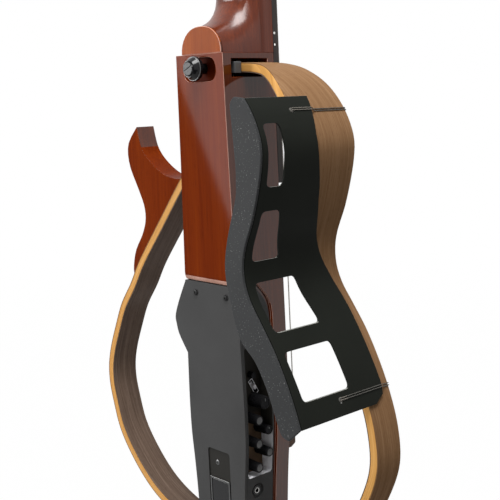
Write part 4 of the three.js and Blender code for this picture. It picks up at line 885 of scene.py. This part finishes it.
batteryRecess = {"half": 14.6, "top": -347.2, "bottom": -420.9, "sunk": 0.25}
sheetLook = {"highlightFacing": 0.85, "highlightLevel": -39.1}  # how far up a sawn edge faces, and where the top edge starts; these faces are painted paler, a painted highlight


def inBatteryRecess(at, normal):
    level = batteryRecess["bottom"] < at.z < batteryRecess["top"]
    return level and abs(at.x) < batteryRecess["half"] and at.y > rearFace(at.z) + batteryRecess["sunk"]


def sheetHighlightFaces(at, normal):
    return normal.z > sheetLook["highlightFacing"] or at.z > sheetLook["highlightLevel"]


secondFinish = {  # painted highlights on the sheet's sawn edges and top edge and on the battery frame's top; painted shade makes the battery recess darker
    "supportSheet": (plastic["sheetEdgeHighlight"], sheetHighlightFaces),
    # the battery frame's upward faces in brighter nickel silver: a painted highlight
    "batteryFrame": (nickelSilver, lambda at, normal: normal.z > 0.9),
    "rearCover": (plastic["recessShadePlastic"], inBatteryRecess),
}
for nodeName, name, material, width, body in solids:
    piece = fromNode(nodeName, name, material)
    soften(piece, width)
    if name in secondFinish:
        piece.data.materials.append(secondFinish[name][0])
        paintFaces(piece, 1, secondFinish[name][1])
    keep(piece, body, nodeName)
print("solids refined")


# Knobs: ribbed sleeves with a dished cap
knobLook = {
    "ribs": 26, "ribDepth": 0.35, "ribsFrom": 1.2, "ribsShort": 1.2, "shaft": 2.5, "lineHalf": 0.35,
    "caps": {
        "volume_knob": "knobPlastic", "treble_knob": "knobCap", "bass_knob": "knobPlastic", "blend_knob": "knobCap",
        "effect_knob": "knobCap", "aux_knob": "knobCap",
    },
}
for nodeName, capMaterial in knobLook["caps"].items():
    low, high = nodeBox(nodeName)
    radius, shaft = (high.z - low.z) / 2, knobLook["shaft"]
    depth, level = (low.y + high.y) / 2, (low.z + high.z) / 2
    seat = place(housing["face"], depth, level)
    root, tall = low.x - housing["face"], high.x - housing["face"]
    sleeve = [
        (0, root), (shaft, root), (shaft, 0.05), (radius - 0.3, 0.05), (radius, 0.5),
        (radius, 1.0), (radius * 0.99, 1.6), (radius * 0.94, tall / 2), (radius * 0.885, tall - 1.6),
        (radius * 0.88, tall - 1), (radius * 0.86, tall - 0.3), (radius * 0.80, tall), (radius * 0.72, tall),
        (radius * 0.70, tall - 0.7), (0, tall - 0.7),
    ]
    ribs = {"from": knobLook["ribsFrom"], "to": tall - knobLook["ribsShort"], "depth": knobLook["ribDepth"]}
    name = nodeName.replace("_knob", "Knob")
    piece = turnedPiece(name + "Sleeve", sleeve, seat, (1, 0, 0), plastic["knobPlastic"], knobLook["ribs"] * 2, ribs)
    keep(piece, nodeName, nodeName)
    cap = [
        (0, tall - 0.75), (radius * 0.69, tall - 0.75), (radius * 0.66, tall - 0.35), (radius * 0.3, tall - 0.55),
        (0, tall - 0.6),
    ]
    keep(turnedPiece(name + "Cap", cap, seat, (1, 0, 0), plastic[capMaterial], 32), nodeName)
    line = block(
        name + "Line", (high.x - 0.5, depth - knobLook["lineHalf"], level + radius * 0.2),
        (high.x - 0.05, depth + knobLook["lineHalf"], level + radius * 0.62), plastic["knobCap"], 0.08,
    )
    keep(line, nodeName)

# Slide switch: pale thumb in a pale frame that leans as the slot does
switchLook = {
    "at": (29.45, -290.1), "lean": 30, "outer": (5.4, 15.6), "border": 0.75, "low": 21.72, "thick": 0.2,
    "thumbEdge": 0.25, "frameEdge": 0.06,
}
piece = fromNode("power_switch", "switchThumb", plastic["palePlastic"])
soften(piece, switchLook["thumbEdge"])
keep(piece, "power_switch", "power_switch")
leaveAll()
bpy.ops.mesh.primitive_plane_add(size=0.001)
bezel = bpy.context.object
bezel.name = "switchFrame"
bezel.scale = (*switchLook["outer"], 1)
settle(bezel)
edit(bezel)
bpy.ops.mesh.select_all(action="SELECT")
bpy.ops.mesh.inset(thickness=switchLook["border"] * 0.001)
bpy.ops.mesh.delete(type="FACE")
take(bezel)
modify(bezel, "SOLIDIFY", thickness=switchLook["thick"] * 0.001, offset=0)
standing = Matrix(((0, 0, 1), (1, 0, 0), (0, 1, 0))).to_4x4()  # plane X to Y, plane Y to Z
lean = Matrix.Rotation(math.radians(switchLook["lean"]), 4, "X")
middle = place(switchLook["low"] + switchLook["thick"] / 2, *switchLook["at"])
bezel.matrix_world = Matrix.Translation(middle) @ lean @ standing
settle(bezel)
paint(bezel, plastic["palePlastic"])
soften(bezel, switchLook["frameEdge"], 2)
keep(bezel, "instrument")
print("controls made")


# Jacks with a bright ring
jackLook = {"edge": 0.3, "ringOuter": 2.6, "ringInner": 2.0, "ringProud": 0.3, "ringDeep": 1.5}
inner, outer, proud = jackLook["ringInner"], jackLook["ringOuter"], jackLook["ringProud"]
jackRing = [
    (inner, -jackLook["ringDeep"]), (inner, proud * 0.5), (inner + 0.15, proud), (outer - 0.2, proud),
    (outer, 0.02), (outer, -0.2), (inner, -jackLook["ringDeep"]),
]
for nodeName in ("phones_jack", "aux_jack"):
    low, high = nodeBox(nodeName)
    piece = fromNode(nodeName, nodeName.replace("_jack", "Jack"), plastic["glossBlack"])
    soften(piece, jackLook["edge"])
    keep(piece, "instrument", nodeName)
    seat = place(high.x, (low.y + high.y) / 2, (low.z + high.z) / 2)
    name = nodeName.replace("_jack", "JackRing")
    keep(turnedPiece(name, jackRing, seat, (1, 0, 0), steel, 40), "instrument")
print("jacks ringed")


# Thumbscrew: knurled black drum, polished slotted face, bright ring
thumb = {
    "level": -12, "end": -12.4, "rim": -6.6, "back": -3.2, "seat": 5.7, "tip": 43,
    "endRadius": 7, "rimRadius": 10.4, "stem": 4.5, "shaft": 2.8, "ribDepth": 0.5,
    "slot": {"long": 16.0, "deep": 1.2, "wide": 1.7, "turn": -25},
}
thumbAt = place(0, 0, thumb["level"])
faceEnd, faceRadius, rimLevel, rimRadius = thumb["end"], thumb["endRadius"], thumb["rim"], thumb["rimRadius"]
back, stem, shaft = thumb["back"], thumb["stem"], thumb["shaft"]
drum = [
    (0, faceEnd + 1.0), (faceRadius - 0.4, faceEnd + 1.0), (faceRadius + 0.2, faceEnd + 0.9),
    (rimRadius - 0.9, rimLevel - 0.6), (rimRadius, rimLevel + 0.1), (rimRadius, rimLevel + 1.2),
    (rimRadius, back - 0.5), (rimRadius - 0.6, back), (stem, back),
    (stem, thumb["seat"]), (shaft, thumb["seat"]), (shaft, thumb["tip"]), (0, thumb["tip"]),
]
ribs = {"from": rimLevel - 0.2, "to": back - 0.1, "depth": thumb["ribDepth"]}
keep(turnedPiece("thumbScrew", drum, thumbAt, (0, 1, 0), plastic["glossBlack"], 72, ribs), "thumbscrew", "thumbscrew")
face = [
    (0, faceEnd), (faceRadius - 1.6, faceEnd), (faceRadius - 0.5, faceEnd + 0.5),
    (faceRadius - 0.45, faceEnd + 0.95), (0, faceEnd + 0.95),
]
slotted = turnedPiece("thumbFace", face, thumbAt, (0, 1, 0), plastic["faceBlack"], 12)
slot = thumb["slot"]
slotAt = Matrix.Translation(thumbAt + Vector((0, faceEnd * 0.001, 0)))
slotAt = slotAt @ Matrix.Rotation(math.radians(slot["turn"]), 4, "Y")
cutBlock(slotted, (slot["long"], slot["deep"], slot["wide"]), slotAt)
smooth(slotted, 20)
keep(slotted, "thumbscrew")
ring = [
    (rimRadius - 0.9, rimLevel - 0.5), (rimRadius - 0.5, rimLevel - 0.55), (rimRadius - 0.05, rimLevel - 0.1),
    (rimRadius - 0.4, rimLevel + 0.2), (rimRadius - 0.9, rimLevel - 0.5),
]
keep(turnedPiece("thumbRing", ring, thumbAt, (0, 1, 0), darkSteel, 48), "thumbscrew")
print("thumbscrew turned")


# Screws
coverScrew = {"radius": 2.7, "height": 1.0, "crown": 0.6}
for number in (1, 2):
    low, high = nodeBox(f"cover_screw_{number}")
    seat = place((low.x + high.x) / 2, low.y + coverScrew["crown"], (low.z + high.z) / 2)
    screwHead(
        f"coverScrew{number}", seat, (0, -1, 0), coverScrew["radius"], coverScrew["height"], blackSteel, "instrument",
        f"cover_screw_{number}",
    )
recessScrew = {"at": (-3.0, 5.75, -359.5), "radius": 2.5, "height": 0.4}
seat = place(*recessScrew["at"])
screwHead("recessScrew", seat, (0, -1, 0), recessScrew["radius"], recessScrew["height"], darkSteel, "instrument")
hornScrewEdge = 0.3
# like screws: the first is bright steel, a painted highlight, and the second dark steel, painted shade
for number, material in ((1, steel), (2, darkSteel)):
    piece = fromNode(f"horn_screw_{number}", f"hornScrew{number}", material)
    soften(piece, hornScrewEdge)
    keep(piece, "instrument", f"horn_screw_{number}")
print("screws set")


# Strings, rollers, worms with pearl buttons
for i in range(1, 7):
    piece = fromNode(f"string_{i}", f"string{i}", woundWire if i > 3 else plastic["clearNylon"], flat=0)
    smooth(piece, 60)
    keep(piece, "instrument", f"string_{i}")


def headSpot(at):  # body millimetres to the head's own frame
    return Matrix.Rotation(math.radians(-headSeat["tilt"]), 3, "X") @ (at - Vector(headSeat["origin"]))


tuner = {"buttonFront": -24.2, "barrelOuter": 27.5, "wormEdge": 0.35, "rollerEdge": 0.2}
for i in range(1, 7):
    worm = fromNode(f"tuner_worm_{i}", f"tunerWorm{i}", steel, pearl)
    paintFaces(worm, 1, lambda at, normal: headSpot(at).y < tuner["buttonFront"])
    soften(worm, tuner["wormEdge"])
    keep(worm, f"worm_{i}", f"tuner_worm_{i}")
    roller = fromNode(f"string_roller_{i}", f"stringRoller{i}", brass, plastic["boneWhite"])
    paintFaces(roller, 1, lambda at, normal: abs(at.x) < tuner["barrelOuter"])
    soften(roller, tuner["rollerEdge"])
    keep(roller, f"roller_{i}", f"string_roller_{i}")
print("head dressed")


# Thin twisted cords that tie the sheet on: two turns each, through a hole and round the frame
cordLook = {
    "turns": 2, "pitch": 1.7, "strandRadius": 0.22, "twist": 3.2, "radius": 0.5, "gap": 0.1, "corner": 1.4,
    "step": 0.4, "sheetOuter": 2.0, "sheetMargin": 0.5, "slope": 3,
}
cordTies = [  # shares of the spine's length and depth; the cord is pale where it lies over the sheet
    {
        "name": "TopCord", "node": "support_cord_top", "level": 0.1085, "hole": -0.2474, "sheetFront": 0.12,
        "paleTo": 6,
    },
    {
        "name": "BottomCord", "node": "support_cord_bottom", "level": 0.5883, "hole": -0.2629, "sheetFront": 0.545,
        "paleTo": -9,
    },
]
knotLook = {"ringRadius": 1.2, "cordRadius": 1.0, "sunk": 0.8}


def stationAt(stations, z):
    for first, second in zip(stations, stations[1:]):
        if first["at"].z >= z >= second["at"].z:
            share = (z - first["at"].z) / (second["at"].z - first["at"].z)
            mixedStation = {key: first[key].lerp(second[key], share) for key in ("at", "out", "along")}
            rear = first["rear"] + (second["rear"] - first["rear"]) * share
            return mixedStation | {"rear": rear}
    return stations[-1]


def cordPath(tie):
    here = stationAt(bassStations, -tie["level"] * spine["length"])
    radius, gap = cordLook["radius"], cordLook["gap"]
    hole = tie["hole"] * spine["depth"]
    front = frameBuild["front"] + frameBuild["lean"] * here["at"].z + radius + gap
    outside, inside = cordLook["sheetOuter"] + radius + gap, -frameBuild["wall"] - radius - gap
    behind = here["rear"] - radius - gap
    sheetEdge = tie["sheetFront"] * spine["depth"] + cordLook["sheetMargin"]
    corners = [  # out over the sheet, down on to the frame, round it and back to the hole
        (outside, hole), (outside, sheetEdge), (radius + gap, sheetEdge + cordLook["slope"]), (radius + gap, front),
        (inside, front), (inside, behind), (-radius - gap, hole),
    ]
    bends = []
    for i, corner in enumerate(corners):
        corner = Vector(corner)
        for other in (corners[i - 1], corners[(i + 1) % len(corners)]):
            bends.append(corner + (Vector(other) - corner).normalized() * cordLook["corner"] / 2)
    count = len(bends) * cordLook["turns"]
    path = []
    for i in range(count - 1):
        offset, depth = bends[(i + len(bends) - 3) % len(bends)]
        drift = (i / len(bends) - cordLook["turns"] / 2) * cordLook["pitch"]
        spot = here["at"] + here["out"] * offset + here["along"] * drift
        path.append(place(spot.x, depth, spot.z))
    return path, here


def twistedPair(name, path, across, material, look):
    dense = []
    for first, second in zip(path, path[1:]):
        steps = max(2, round((second - first).length * 1000 / look["step"]))
        dense += [first.lerp(second, i / steps) for i in range(steps)]
    dense.append(path[-1])
    strands = []
    for half in (0, math.pi):
        run = 0
        points = []
        for i, here in enumerate(dense):
            run += (here - dense[i - 1]).length * 1000 if i else 0
            tangent = (dense[min(i + 1, len(dense) - 1)] - dense[max(i - 1, 0)]).normalized()
            normal = tangent.cross(across).normalized()
            phase = run / look["twist"] * math.tau + half
            offset = normal * math.cos(phase) + across * math.sin(phase)
            points.append(here + offset * look["strandRadius"] * 0.001)
        strands.append(strand(name + "Strand", points, look["strandRadius"], material, 2))
    leaveAll()
    for piece in strands:
        piece.select_set(True)
    bpy.context.view_layer.objects.active = strands[0]
    bpy.ops.object.join()
    strands[0].name = name
    return settle(strands[0])


for tie in cordTies:
    path, here = cordPath(tie)
    piece = twistedPair("support" + tie["name"], path, here["along"].normalized(), plastic["cordPale"], cordLook)
    piece.data.materials.append(plastic["cordFibre"])
    paintFaces(piece, 1, lambda at, normal: at.y > tie["paleTo"])
    keep(piece, "bass_side", tie["node"])
    seat = here["at"] + here["out"] * (cordLook["sheetOuter"] - knotLook["sunk"])  # in the sheet's hole
    leaveAll()
    bpy.ops.mesh.primitive_torus_add(
        major_radius=knotLook["ringRadius"] * 0.001, minor_radius=knotLook["cordRadius"] * 0.001,
        major_segments=24, minor_segments=10,
    )
    knot = bpy.context.object
    knot.name = f"support{tie['name']}Knot"
    knotAt = place(seat.x, tie["hole"] * spine["depth"], seat.z)
    knot.matrix_world = Matrix.Translation(knotAt) @ uprightTo(here["out"])
    settle(knot)
    paint(knot, plastic["cordFibre"])
    smooth(knot, 60)
    keep(knot, "bass_side")
    length = sum((b - a).length for a, b in zip(path, path[1:]))
    print(tie["name"], "length in metres", round(length, 4))
print("cords tied")
